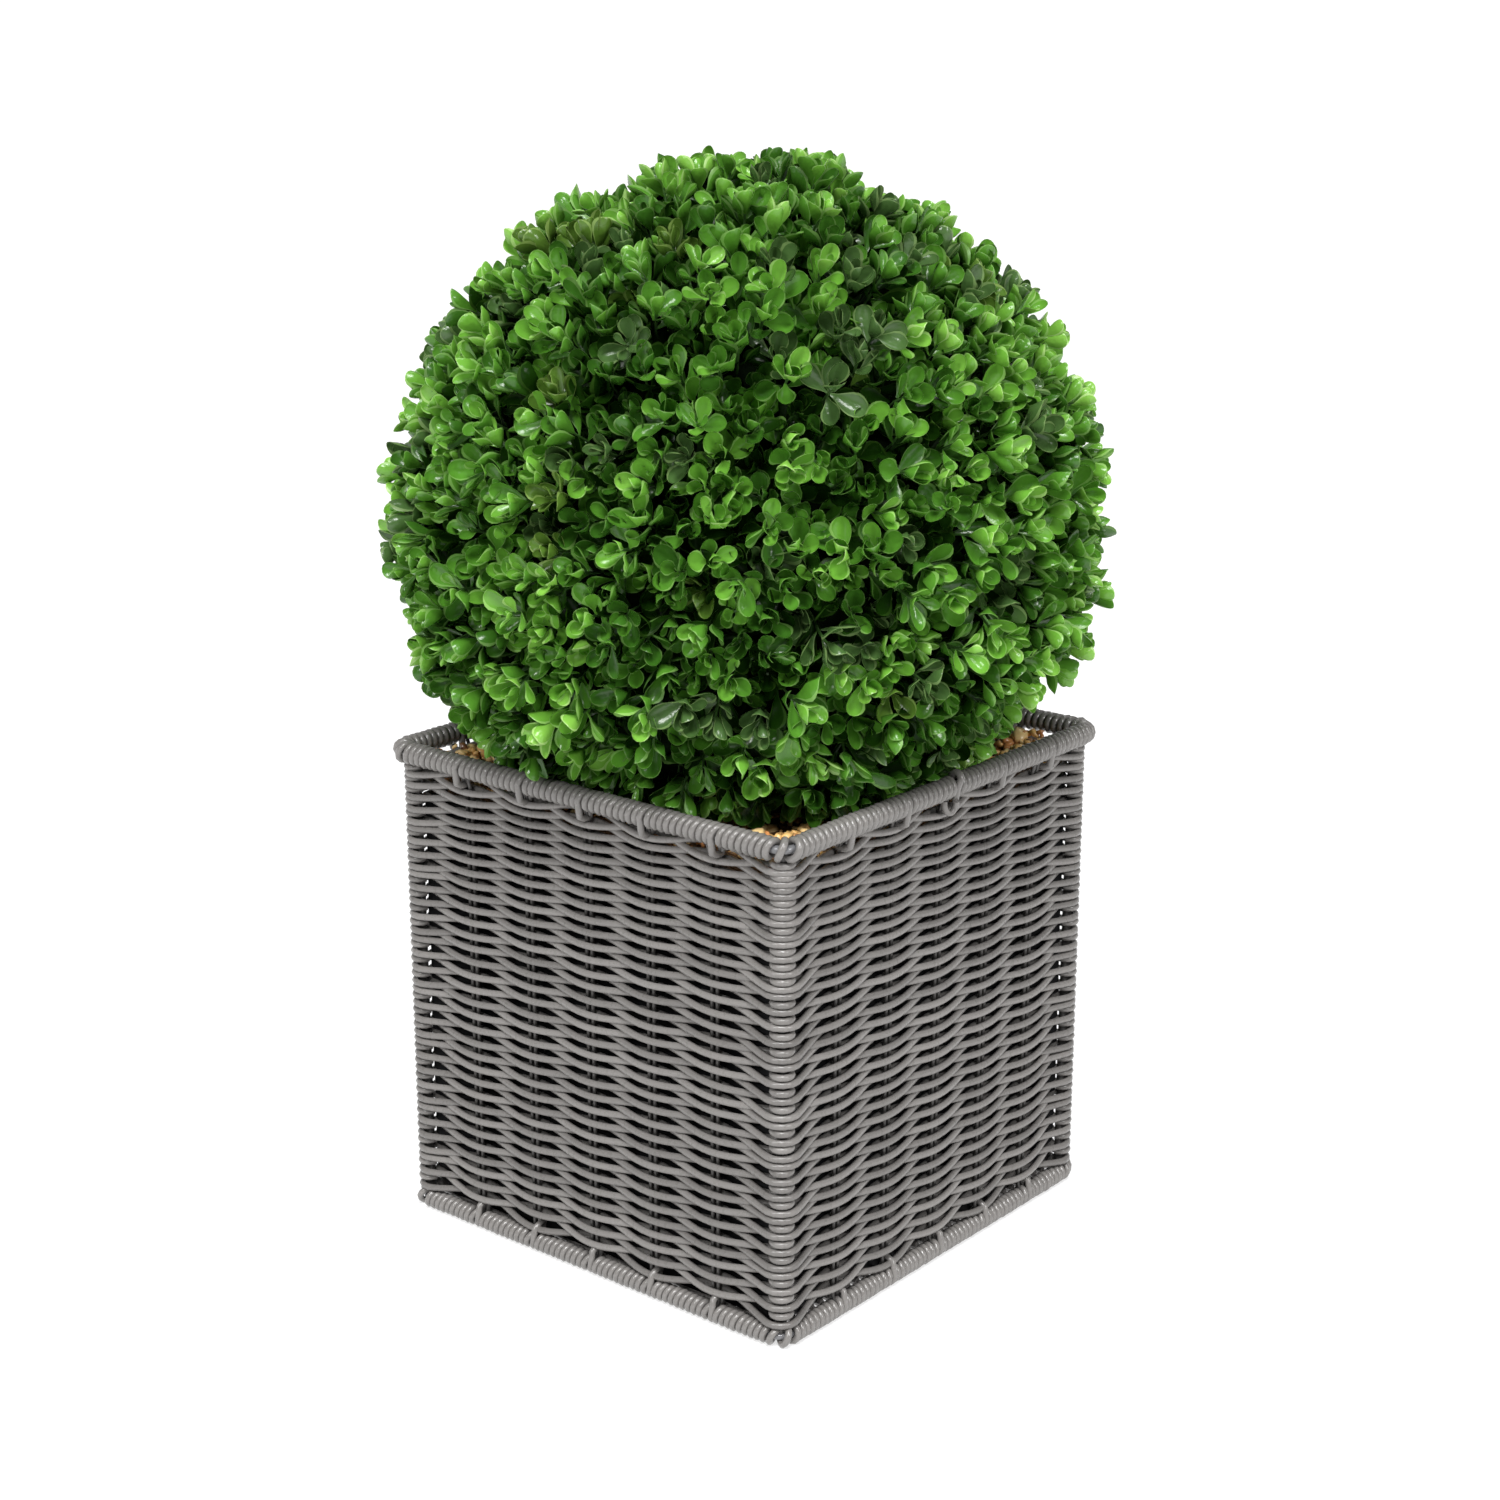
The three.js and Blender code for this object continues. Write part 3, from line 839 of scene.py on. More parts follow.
@dataclass
class WoundRim:
    """A rod bent into a square, wound all round with cane."""

    node: str
    long_loops: LoopSide
    loop_reach: float
    loop_tuck: float  # how far the end of a long loop lies further in
    lean: float  # how far the top of a turn lies along from its middle
    lean_in: float  # how much more the turn before a long loop leans towards it
    cane: float
    pitch: float  # from one turn of the winding to the next
    corner: float  # radius of the rod's corners
    corner_space: float = 5.6 * MM  # from the single turn at a corner to the next one
    corner_swell: float = 0.5 * MM  # how much further out that turn lies
    unevenness: float = 0.12 * MM  # how much the turns' places differ from even ones
    slack: float = 0.1 * MM  # and how much their radii differ
    points_per_turn: int = 12
    stray_loop: float | None = None  # place of a loop that stands up, in bays
    stray_rise: float = 3 * MM
    stray_part: float = 0.3  # how much of a turn stands up, either way
    stray_lean: float = 0.7  # how far it stands out, as a share of its rise
    swell: float = 0.0  # how much thicker the winding is than the solid
    seed: int = 11

    def __post_init__(self) -> None:
        """Takes the sizes from the solid rim."""
        low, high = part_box(self.node)
        self.thickness = high.z - low.z
        self.height = (low.z + high.z) / 2 + self.swell
        self.route = SquareRoute(high.x - self.thickness / 2, self.corner)
        self.winding = (self.thickness - self.cane) / 2 + self.swell

    def wraps(self) -> np.ndarray:
        """Places of the turns of cane, a little wider apart at the corners.

        Returns:
            The places in bays.
        """
        side = self.route.bay * BAYS
        count = round((side - 2 * self.corner_space) / self.pitch)
        run = np.linspace(self.corner_space, side - self.corner_space, count + 1)
        random = np.random.default_rng(self.seed)
        places = []
        for number in range(SIDES):
            jitter = random.normal(0, self.unevenness, len(run))
            places.append(number * BAYS + np.concatenate([[0.0], run + jitter]) / self.route.bay)
        return np.concatenate(places)

    def winding_route(self) -> np.ndarray:
        """The route of the cane that is wound round the rod.

        Returns:
            Its points.
        """
        wraps = self.wraps()
        turns = len(wraps)
        uprights = [bay for bay in range(SIDES * BAYS) if bay % BAYS]
        long_turns = {int(np.argmin(np.abs(wraps - bay))) for bay in uprights}
        along = np.arange(turns * self.points_per_turn) / self.points_per_turn
        turn = np.floor(along).astype(int)
        part = along - turn
        upright_legs = np.clip(2 * part, 0, 0.5) + np.clip(2 * part - 1.5, 0, 0.5)
        long_turn = np.isin(turn, list(long_turns))
        progress = turn + np.where(long_turn, upright_legs, part)
        bays = np.interp(progress, np.arange(turns + 1), np.append(wraps, SIDES * BAYS))
        side = self.long_loops.value
        angle = along * TAU - side * math.pi / 2
        toward_loops = np.clip(side * np.sin(angle), 0, 1)
        random = np.random.default_rng(self.seed + 1)
        at_corner = np.isin(wraps, np.arange(SIDES) * BAYS)
        radii = self.winding + random.normal(0, self.slack, turns) + self.corner_swell * at_corner
        radius = radii[turn]
        before = np.isin(turn + 1, list(long_turns))
        lean = self.lean * np.sin(angle) + self.lean_in * before * toward_loops
        points, facing = self.route.at(bays + lean / self.route.bay)
        points = points + facing * (radius * np.cos(angle))[:, None]
        points[:, 2] = self.height + radius * np.sin(angle)
        outward = toward_loops * long_turn
        points[:, 2] += side * self.loop_reach * np.clip(2 * outward, 0, 1)
        points -= facing * (self.loop_tuck * outward**2)[:, None]
        if self.stray_loop is not None:
            stray = int(np.argmin(np.abs(wraps - self.stray_loop)))
            stands = np.abs(along - stray) < self.stray_part
            rise = self.stray_rise * np.clip(2 * np.sin(angle), 0, 1) * stands
            points[:, 2] += rise
            points += facing * (self.stray_lean * rise)[:, None]
        points[:, 2] = np.maximum(points[:, 2], self.cane / 2)
        return points

    def core(self) -> np.ndarray:
        """The route of the rod inside.

        Returns:
            Its points.
        """
        points, _ = self.route.at(np.arange(0, SIDES * BAYS, 0.05))
        points[:, 2] = self.height
        return points

    def build(self, cane: bpy.types.Material, rod: bpy.types.Material) -> None:
        """Builds the winding and the rod.

        Args:
            cane: the cane's material.
            rod: the rod's material.
        """
        wound = tubes(f"{self.node}_winding", [self.winding_route()], self.cane / 2, True)
        rod_radius = self.winding - self.cane / 2
        inside = tubes(f"{self.node}_rod", [self.core()], rod_radius, True)
        seat(wound, [self.node], cane)
        seat(inside, [], rod)


@dataclass
class CaneEnd:
    """The cut end of the winding cane, which curls out under the top rim."""

    place: float = 8.93  # in bays
    radius: float = 3.3 * MM  # of the curl
    stretch: float = 1.3  # how much taller than wide it is
    drop: float = 1.5 * MM  # how far its middle lies under the rim
    turn: tuple[float, float] = (-205, 20)  # from its start to its end, in degrees
    outward: tuple[float, float] = (-2.2 * MM, 0.8 * MM)  # its start and end off the winding
    cane: float = 3.3 * MM

    def build(self, rim: WoundRim, cane: bpy.types.Material) -> None:
        """Builds the curl.

        Args:
            rim: the rim that it hangs from.
            cane: the cane's material.
        """
        points, facing = rim.route.at(np.array([self.place]))
        along = np.cross(UP, facing[0])
        under = rim.height - rim.thickness / 2 - self.drop
        angle = np.radians(np.linspace(*self.turn, 16))
        out = rim.winding + np.linspace(*self.outward, len(angle))
        height = under + self.radius * self.stretch * np.sin(angle)
        curl = (
            points[0]
            + facing[0] * out[:, None]
            + along * (self.radius * np.cos(angle))[:, None]
            + np.outer(height, UP)
        )
        seat(tubes("cane_end", [curl], self.cane / 2, False, 3), [], cane)


@dataclass
class WireFrame:
    """The corner posts and the uprights, each a wire bent double, that the cane is woven on."""

    wire_radius: float = 1.1 * MM
    half_gap: float = 1.7 * MM  # from an upright's middle to each of its two legs
    end_bend: float = 6 * MM  # height of the stretch at each end that leans out to a rim
    head_drop: float = 5 * MM  # from the top rim's middle down to the head
    head_lean: float = 0.7  # how far the head leans out, as a share of the way to the rim
    post_radius: float = 2.75 * MM
    post_drop: float = 3 * MM  # from the top rim's middle down to a post's end
    post_bow: float = 1.5 * MM  # how far that end leans out
    bow_run: float = 12 * MM  # height over which it does

    def hairpin(self, wall: WovenWall, top: WoundRim, foot: WoundRim, bay: int) -> np.ndarray:
        """The route of one upright.

        Args:
            wall: the woven wall.
            top: the top rim, whose rod it hooks on.
            foot: the foot rim that it stands on.
            bay: its place.

        Returns:
            Its points.
        """
        point, facing = wall.route.at(np.array([bay]))
        out_top = top.route.half_width - wall.route.half_width
        out_foot = foot.route.half_width - wall.route.half_width
        up = np.array([foot.height, foot.height + self.end_bend, wall.top - self.end_bend,
                       top.height - self.head_drop])
        out = np.array([out_foot, 0.0, 0.0, out_top * self.head_lean])
        along = np.cross(UP, facing[0])
        bend = np.radians([180, 135, 90, 45, 0])
        heads = up[-1] + self.half_gap * np.sin(bend)
        across = np.concatenate([[-self.half_gap] * 4, self.half_gap * np.cos(bend[1:-1]),
                                 [self.half_gap] * 4])
        height = np.concatenate([up, heads[1:-1], up[::-1]])
        outward = np.concatenate([out, [out[-1]] * 3, out[::-1]])
        return (
            point[0]
            + along * across[:, None]
            + facing[0] * outward[:, None]
            + np.outer(height, UP)
        )

    def build(
        self, wall: WovenWall, top: WoundRim, foot: WoundRim, wire: bpy.types.Material
    ) -> None:
        """Builds the posts and the uprights.

        Args:
            wall: the woven wall.
            top: the top rim.
            foot: the foot rim.
            wire: their material.
        """
        names = sorted(frame["nodes"])
        bays = [bay for bay in range(SIDES * BAYS) if bay % BAYS]
        routes = [self.hairpin(wall, top, foot, bay) for bay in bays]
        uprights = tubes("upright_wires", routes, self.wire_radius, False, 1)
        seat(uprights, [n for n in names if n.startswith("upright_")], wire)
        posts = []
        for corner in range(SIDES):
            point, facing = wall.route.at(np.array([corner * BAYS]))
            height = np.linspace(foot.height, top.height - self.post_drop, 12)
            bow = self.post_bow * np.clip((height - wall.top) / self.bow_run, 0, 1)
            posts.append(point[0] + facing[0] * bow[:, None] + np.outer(height, UP))
        made = tubes("corner_post_rods", posts, self.post_radius, False, 2)
        seat(made, [n for n in names if n.startswith("corner_post_")], wire)


@dataclass
class WovenFloor:
    """The planter's floor: straight rows of cane over five wires."""

    rows: int = 66
    wires: int = 5
    wire_radius: float = 1 * MM

    def build(self, cane: bpy.types.Material, wire: bpy.types.Material) -> None:
        """Builds the rows and the wires.

        Args:
            cane: the cane's material.
            wire: the wires' material.
        """
        low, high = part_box("base_panel")
        middle = (low.z + high.z) / 2
        reach = (high.z - low.z) / 2
        span = high.x - CANE / 2
        along = np.linspace(-span, span, 49)
        rows = []
        for number, y in enumerate(np.linspace(-span, span, self.rows)):
            swing = np.cos(along / span * math.pi * (self.wires + 1) / 2 + math.pi * number)
            rows.append(np.column_stack([along, np.full_like(along, y), middle + reach * swing]))
        seat(tubes("floor_rows", rows, CANE / 2, False, 1, 8), ["base_panel"], cane)
        pitch = 2 * span / (self.wires + 1)
        across = np.linspace(-span, span, 9)
        wires = [
            np.column_stack([np.full_like(across, -span + pitch * (n + 1)), across,
                             np.full_like(across, middle)])
            for n in range(self.wires)
        ]
        seat(tubes("floor_wires", wires, self.wire_radius, False, 1), [], wire)


@dataclass
class FilmLiner:
    """The black film bag inside the weave."""

    corner: float = 5 * MM
    corner_bulge: float = 5.7 * MM  # how far it swells into the planter's corners
    bulge_start: float = 1.6  # where that starts, |x| + |y| against the half width
    bulge_run: float = 0.3  # and how soon it is full
    edge_drop: float = 9 * MM  # how far its uneven edge lies under the solid's top
    edge_wave: float = 6 * MM
    edge_scale: float = 30.0  # waves for each metre
    ripple: float = 0.7 * MM
    ripple_scale: float = 55.0
    thickness: float = 0.5 * MM
    level_cuts: int = 12
    upright_cuts: int = 14  # on each side

    def build(self, film: bpy.types.Material) -> None:
        """Builds the bag.

        Args:
            film: its material.
        """
        low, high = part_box("liner")
        height = high.z - self.edge_drop - low.z
        made = bmesh.new()
        bmesh.ops.create_cube(made, size=1.0)
        bmesh.ops.scale(made, vec=(high.x - low.x, high.y - low.y, height), verts=made.verts)
        bmesh.ops.translate(made, vec=(0, 0, low.z + height / 2), verts=made.verts)
        upright = [edge for edge in made.edges if abs(edge.verts[0].co.z - edge.verts[1].co.z) > 0]
        bmesh.ops.bevel(made, geom=upright, offset=self.corner, offset_type="OFFSET",
                        affect="EDGES", segments=5, profile=0.5, material=-1)
        lid = max(made.faces, key=lambda face: face.calc_center_median().z)
        bmesh.ops.delete(made, geom=[lid], context="FACES_ONLY")
        for level in np.linspace(low.z, low.z + height, self.level_cuts + 2)[1:-1]:
            slice_across(made, level, UP)
        for place in np.linspace(low.x, high.x, self.upright_cuts + 2)[1:-1]:
            for axis in ((1, 0, 0), (0, 1, 0)):
                slice_across(made, place, axis)
        for vertex in made.verts:
            if vertex.co.z < low.z + 1 * MM:
                continue
            away = Vector((vertex.co.x, vertex.co.y, 0)).normalized()
            wave = noise.noise(vertex.co * self.ripple_scale)
            cornerness = (abs(vertex.co.x) + abs(vertex.co.y)) / high.x - self.bulge_start
            bulge = self.corner_bulge * min(max(cornerness / self.bulge_run, 0.0), 1.0)
            vertex.co += away * (wave * self.ripple + bulge)
            if vertex.co.z > low.z + height - 1 * MM:
                vertex.co.z += noise.noise(vertex.co * self.edge_scale) * self.edge_wave
        piece = from_bmesh("film_liner", made)
        wall = piece.modifiers.new("thickness", "SOLIDIFY")
        wall.thickness = self.thickness
        wall.offset = -1
        seat(piece, ["liner"], film)


@dataclass
class BarkMulch:
    """Glossy bark chips over the filling block."""

    chips: int = 4400
    shapes: int = 7
    seed: int = 31
    smallest: float = 2.8 * MM
    largest: float = 6.2 * MM
    lump_share: float = 0.04  # how many of them are lumps
    lump_size: float = 1.8  # of a lump, against a chip
    stretch: tuple[float, float, float] = (1.25, 0.85, 0.6)  # length, width and thickness
    bulge: float = 0.5  # how uneven they are
    bulge_scale: float = 2.4
    tilt: float = 0.45
    spread: float = 1.2 * MM  # how far past the solid layer they lie
    overhang: float = 1.0 * MM  # how far past that a chip may reach
    sunk: float = 3.5 * MM  # depth under its top that their heights are measured from
    lowest: float = -1.8 * MM  # their least height
    layer: float = 2.6 * MM  # their greatest height in the middle
    heap: float = 6 * MM  # how much higher they lie along the edge
    heap_start: float = 0.72  # where that begins, as a share of the way to the edge
    corner_heap: float = 7 * MM  # and how much higher still in the corners
    corner_start: float = 0.5  # where that begins, as a share of the way to the nearer side
    corner_run: float = 0.4  # and how soon it is full
    edge_share: float = 0.45  # how many of them are pushed to the edge
    edge_width: float = 0.14  # of the strip they are pushed to, as a share of the way
    finishes: tuple[PlainFinish, ...] = (
        PlainFinish("chip_tan", (0.8, 0.48, 0.17), 0.32, 0.3, 0.6),
        PlainFinish("chip_straw", (0.88, 0.62, 0.28), 0.36, 0.3, 0.6),
        PlainFinish("chip_rust", (0.6, 0.26, 0.09), 0.28, 0.4, 0.6),
        PlainFinish("chip_brown", (0.22, 0.1, 0.045), 0.3, 0.4, 0.6),
    )
    shares: tuple[float, ...] = (0.42, 0.3, 0.18, 0.1)

    def chip(self, random: np.random.Generator) -> Pattern:
        """One rounded chip, about 1 across.

        Args:
            random: the source of its shape.

        Returns:
            The chip's pattern.
        """
        made = bmesh.new()
        bmesh.ops.create_uvsphere(made, u_segments=6, v_segments=4, radius=0.5)
        shift = Vector(random.uniform(-9, 9, 3))
        for vertex in made.verts:
            vertex.co *= 1 + self.bulge * noise.noise(vertex.co * self.bulge_scale + shift)
        bmesh.ops.scale(made, vec=self.stretch, verts=made.verts)
        return Pattern.cut(made)

    def build(self) -> None:
        """Scatters the chips."""
        random = np.random.default_rng(self.seed)
        _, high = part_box("mulch")
        half = high.x + self.spread
        level = high.z - self.sunk
        stamper = Stamper()
        patterns = [self.chip(random) for _ in range(self.shapes)]
        kinds = random.integers(self.shapes, size=self.chips)
        across = random.uniform(-half, half, (self.chips, 2))
        pushed = random.random(self.chips) < self.edge_share
        outward = np.max(np.abs(across), axis=1, keepdims=True)
        edge = half * random.uniform(1 - self.edge_width, 1.0, (self.chips, 1))
        across = np.where(pushed[:, None], across / outward * edge, across)
        sizes = random.uniform(self.smallest, self.largest, self.chips)
        sizes[random.random(self.chips) < self.lump_share] *= self.lump_size
        finishes = random.choice(len(self.finishes), self.chips, p=self.shares)
        turns = random.uniform(0, TAU, self.chips)
        tilts = random.normal(0, self.tilt, (self.chips, 2))
        toward_edge = np.max(np.abs(across), axis=1) / half
        slope = np.clip((toward_edge - self.heap_start) / (1 - self.heap_start), 0, 1)
        toward_corner = np.min(np.abs(across), axis=1) / half
        highest = self.layer + self.heap * slope
        cornerness = np.clip((toward_corner - self.corner_start) / self.corner_run, 0, 1)
        highest += self.corner_heap * slope * cornerness
        depth = random.uniform(self.lowest, highest)
        limit = half + self.overhang - sizes * 0.6
        across = np.clip(across, -limit[:, None], limit[:, None])
        frames = np.empty((self.chips, 3, 3))
        for index in range(self.chips):
            frames[index] = (
                Matrix.Rotation(tilts[index][0], 3, "X")
                @ Matrix.Rotation(tilts[index][1], 3, "Y")
                @ Matrix.Rotation(turns[index], 3, "Z")
            )
            frames[index] *= sizes[index]
        starts = np.column_stack([across, level + depth])
        for kind, pattern in enumerate(patterns):
            chosen = kinds == kind
            stamper.stamp(pattern, frames[chosen], starts[chosen], finishes[chosen])
        materials = [finish.material() for finish in self.finishes]
        seat(stamper.piece("bark_chips", materials))


# ---- Stem and ball ------------------------------------------------------------------------


@dataclass
class Stem:
    """The short stem between the filling block and the ball."""

    foot_radius: float = 12 * MM
    top_radius: float = 9.5 * MM
    ridges: int = 7
    ridge: float = 0.9 * MM  # how far the bark's ridges stand out
    ridge_share: float = 0.6  # how much of that is the regular ridges
    twist: float = 60.0  # how much they wind, in radians for each metre
    knot_scale: float = 180.0  # knots for each metre
    segments: int = 36
    rings: int = 22

    def build(self, bark: bpy.types.Material) -> None:
        """Builds the stem.

        Args:
            bark: its material.
        """
        low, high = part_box("stem")
        height = high.z - low.z
        made = bmesh.new()
        bmesh.ops.create_cone(made, cap_ends=True, segments=self.segments, depth=height,
                              radius1=self.foot_radius - self.ridge,
                              radius2=self.top_radius - self.ridge)
        bmesh.ops.translate(made, vec=(0, 0, low.z + height / 2), verts=made.verts)
        for level in np.linspace(low.z, high.z, self.rings + 2)[1:-1]:
            slice_across(made, level, UP)
        for vertex in made.verts:
            around = math.atan2(vertex.co.y, vertex.co.x)
            away = Vector((vertex.co.x, vertex.co.y, 0)).normalized()
            swirl = around * self.ridges + vertex.co.z * self.twist
            knots = noise.noise(vertex.co * self.knot_scale)
            vertex.co += away * self.ridge * (math.sin(swirl) * self.ridge_share + knots)
        seat(from_bmesh("bark_stem", made), ["stem"], bark)


class SeededRandom:
    """Numbers from 0 to 1 in a fixed order, by the rule that grows the solid ball."""

    def __init__(self, seed: int) -> None:
        """Starts the order.

        Args:
            seed: where it starts.
        """
        self.state = seed & 0xFFFFFFFF
        self.next()
        self.next()

    def next(self) -> float:
        """Returns the next number."""
        self.state = (self.state * 1664525 + 1013904223) & 0xFFFFFFFF
        return self.state / 4294967296


class LeafTone(Enum):
    """The greens that the sprays are moulded in, and SHADE, a painted shade: face colour, rim
    colour and share.
    """

    BRIGHT = ((0.215, 0.485, 0.066), (0.37, 0.6, 0.18), 0.15)
    FRESH = ((0.138, 0.36, 0.038), (0.25, 0.48, 0.11), 0.25)
    MID = ((0.078, 0.235, 0.022), (0.16, 0.34, 0.07), 0.24)
    DEEP = ((0.038, 0.13, 0.012), (0.1, 0.21, 0.045), 0.15)
    # SHADE is painted shade: no spray is moulded in it, and only leaves deep in a spray are given
    # it.
    SHADE = ((0.007, 0.028, 0.002), (0.02, 0.055, 0.006), 0.0)
    DUSKY = ((0.06, 0.128, 0.033), (0.15, 0.245, 0.08), 0.11)
    OLIVE = ((0.076, 0.158, 0.02), (0.18, 0.29, 0.065), 0.08)

    @property
    def face(self) -> tuple[float, float, float]:
        """Colour of the leaf's face."""
        return self.value[0]

    @property
    def rim(self) -> tuple[float, float, float]:
        """Colour of the leaf's thin rim: partly its paler margin, partly a painted highlight of
        its thick edge.
        """
        return self.value[1]

    @property
    def share(self) -> float:
        """How many of the sprays have it."""
        return self.value[2]

    @property
    def number(self) -> int:
        """Its place among the greens."""
        return list(LeafTone).index(self)


@dataclass(frozen=True)
class LeafNode:
    """One pair of leaves on a spray."""

    depth: float  # below the spray's tip
    length: float
    splay: float  # angle from the stem, in degrees


@dataclass
class FoliageBall:
    """The clipped ball: a core, twigs on pegs, and leaves in sprays of crossed pairs."""

    seed: int = 20430
    pegs: int = 44
    lowest_direction: float = -0.7
    arms: int = 30
    pieces: int = 6  # the leaves are joined in so many pieces
    reach: float = 185 * MM
    lowest_spray: float = -0.78
    outer_spacing: float = 1.02  # least spacing of the outer sprays, against an even one
    inner_spacing: float = 0.7  # the same for all of them
    push: float = 0.3  # how much of the missing space a spray moves at a time
    tip_radius: float = 171 * MM  # from the ball's middle to the buds of the outer sprays
    lumps: float = 8 * MM  # how far the clipped outline swells and sinks
    lump_scale: float = 4.5
    unevenness: float = 4.5 * MM  # how much the sprays' ends differ besides
    tip_range: tuple[float, float] = (-11 * MM, 4 * MM)  # limits of both together
    inner_drop: float = 10 * MM  # how much deeper the inner sprays end
    core_radius: float = 143 * MM
    core_ripple: float = 0.012
    core_ripple_scale: float = 90.0
    core_rise: float = 1 * MM  # of its flat foot over the solid ball's
    twig_foot: float = 120 * MM  # radius at which the twigs fork from their pegs
    twig_knee: float = 135 * MM  # radius at which they turn to their sprays
    twig_run: float = 24 * MM  # how long they follow a spray
    twig_radius: float = 0.75 * MM
    tilt: float = 0.2  # how much the sprays lean any way
    upward: float = 0.03  # how much they turn up to the light
    skirt: int = 110  # sprays that fill the dark space over the mulch
    skirt_heights: tuple[float, float] = (-0.82, -0.62)
    flat_side: tuple[float, float] = (0.77, 0.64)  # where the ball is pressed in near the rim
    flat_depth: float = 14 * MM
    low_depth: float = 7 * MM  # how much it is drawn in near the rim all round
    low_zone: tuple[float, float] = (-0.3, -0.6)  # heights where that starts and is full
    foliage_floor: float = 245 * MM
    rim_margin: float = 0.6 * MM  # from a leaf to the planter's rim
    tip_margin: float = 4 * MM  # from a spray's end to the mulch and the rim
    patch_scale: float = 3.2
    patch_share: float = 0.28  # how much of a spray's green comes from the patch it is in
    shaded_below: float = -0.42  # painted shade: half the sprays under this height are one green deeper
    leaf_width: float = 0.57  # of its length
    widest: float = 0.66  # where along the leaf it is widest
    bowl: float = 0.58  # where along the leaf its bowl turns up
    stalk_width: float = 0.1  # of the leaf's width
    rim_start: float = 0.86  # where across the leaf its rim starts
    leaf_shapes: tuple[tuple[float, float, float], ...] = (  # bowl, curl and twist
        (0.85, -0.06, 0.2),
        (1.1, 0.02, -0.25),
        (0.7, -0.16, 0.15),
        (1.25, -0.05, -0.15),
        (0.95, -0.2, 0.3),
    )
    bud_shape: tuple[float, float, float] = (0.4, 0.05, 0.0)
    bud_rows: int = 5
    spray_sizes: tuple[float, float] = (0.88, 1.1)  # least and greatest
    leaf_sizes: tuple[float, float] = (0.86, 1.12)  # the same within a spray
    large_share: float = 0.06  # how many leaves are larger still
    large_size: float = 1.12  # and by how much
    turn_jitter: float = 0.3  # of a leaf's place round its spray, in radians
    splay_jitter: float = 11.0  # of its splay, in degrees
    rock: float = 0.32  # how much it leans to one side, in radians
    root_offset: float = 0.7 * MM  # from its root to the middle of the spray
    fitting_sizes: tuple[float, ...] = (1.0, 0.8, 0.62)  # tried in turn until a leaf fits
    painted_shade_pairs: tuple[int, ...] = (4, 5)  # painted shade: at each of these pairs the leaves go a green deeper
    painted_highlight_pairs: tuple[int, int] = (1, 2)  # painted highlight: half the leaves of these are a green brighter
    shade_gloss: float = 0.08  # of the deepest green, the painted shade, kept low so that it stays dark
    leaf_gloss: float = 0.5  # of all others
    rim_gloss: float = 0.8  # of a leaf's rim, against its face
    nodes: tuple[LeafNode, ...] = (
        LeafNode(0.0 * MM, 4.5 * MM, 10),
        LeafNode(0.5 * MM, 11.5 * MM, 25),
        LeafNode(2.0 * MM, 15.0 * MM, 37),
        LeafNode(5.0 * MM, 16.5 * MM, 47),
        LeafNode(9.5 * MM, 17.0 * MM, 55),
        LeafNode(15.0 * MM, 16.5 * MM, 62),
        LeafNode(21.5 * MM, 16.0 * MM, 69),
    )

    def __post_init__(self) -> None:
        """Takes the ball's place from its solid."""
        low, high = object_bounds()
        self.low, self.high = np.array(low), np.array(high)
        ball_low, ball_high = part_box("foliage_ball")
        self.middle = np.array([0, 0, ball_high.z - self.reach + 0.8 * MM])
        self.core_floor = ball_low.z + self.core_rise
        rim_low, rim_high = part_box("top_rim")
        self.rim_outside = rim_high.x
        self.rim_thickness = rim_high.z - rim_low.z
        self.rim_top = rim_high.z

    def peg_direction(self, peg: int) -> np.ndarray:
        """Finds the direction of a peg, on an even spiral from the crown down.

        Args:
            peg: its number.

        Returns:
            The direction.
        """
        z = 1 - ((peg + 0.5) / self.pegs) * (1 - self.lowest_direction)
        level = math.sqrt(1 - z * z)
        angle = peg * GOLDEN_ANGLE
        return np.array([level * math.cos(angle), level * math.sin(angle), z])

    def arm_direction(self, peg: int, arm: int) -> np.ndarray:
        """Finds where an arm of a peg ends: arms fill the peg's patch like sunflower seeds.

        Args:
            peg: the peg's number.
            arm: the arm's number.

        Returns:
            The arm's direction.
        """
        turn = SeededRandom(self.seed + peg * 101).next() * TAU
        middle = self.peg_direction(peg)
        side = np.array([0, 0, 1.0]) if abs(middle[2]) < 0.9 else np.array([1.0, 0, 0])
        first = unit(np.cross(side, middle))
        second = np.cross(middle, first)
        spread = math.sqrt(2 * (1 - self.lowest_direction) / self.pegs)
        away = math.tan(spread * math.sqrt((arm + 0.5) / self.arms))
        angle = turn + arm * GOLDEN_ANGLE
        return unit(middle + first * away * math.cos(angle) + second * away * math.sin(angle))

    def settle(self, directions: np.ndarray, spacing: float, rounds: int = 14) -> np.ndarray:
        """Lets sprays that stand too close push each other apart.

        Args:
            directions: one row for each spray.
            spacing: the angle under which two of them push.
            rounds: how often they move.

        Returns:
            The new directions.
        """
        for _ in range(rounds):
            gap = directions[:, None, :] - directions[None, :, :]
            distance = np.linalg.norm(gap, axis=2) + np.eye(len(directions))
            push = np.clip(spacing - distance, 0, None) / distance
            directions = directions + self.push * (gap * push[:, :, None]).sum(axis=1)
            directions[:, 2] = np.maximum(directions[:, 2], self.lowest_spray)
            directions = unit(directions)
        return directions

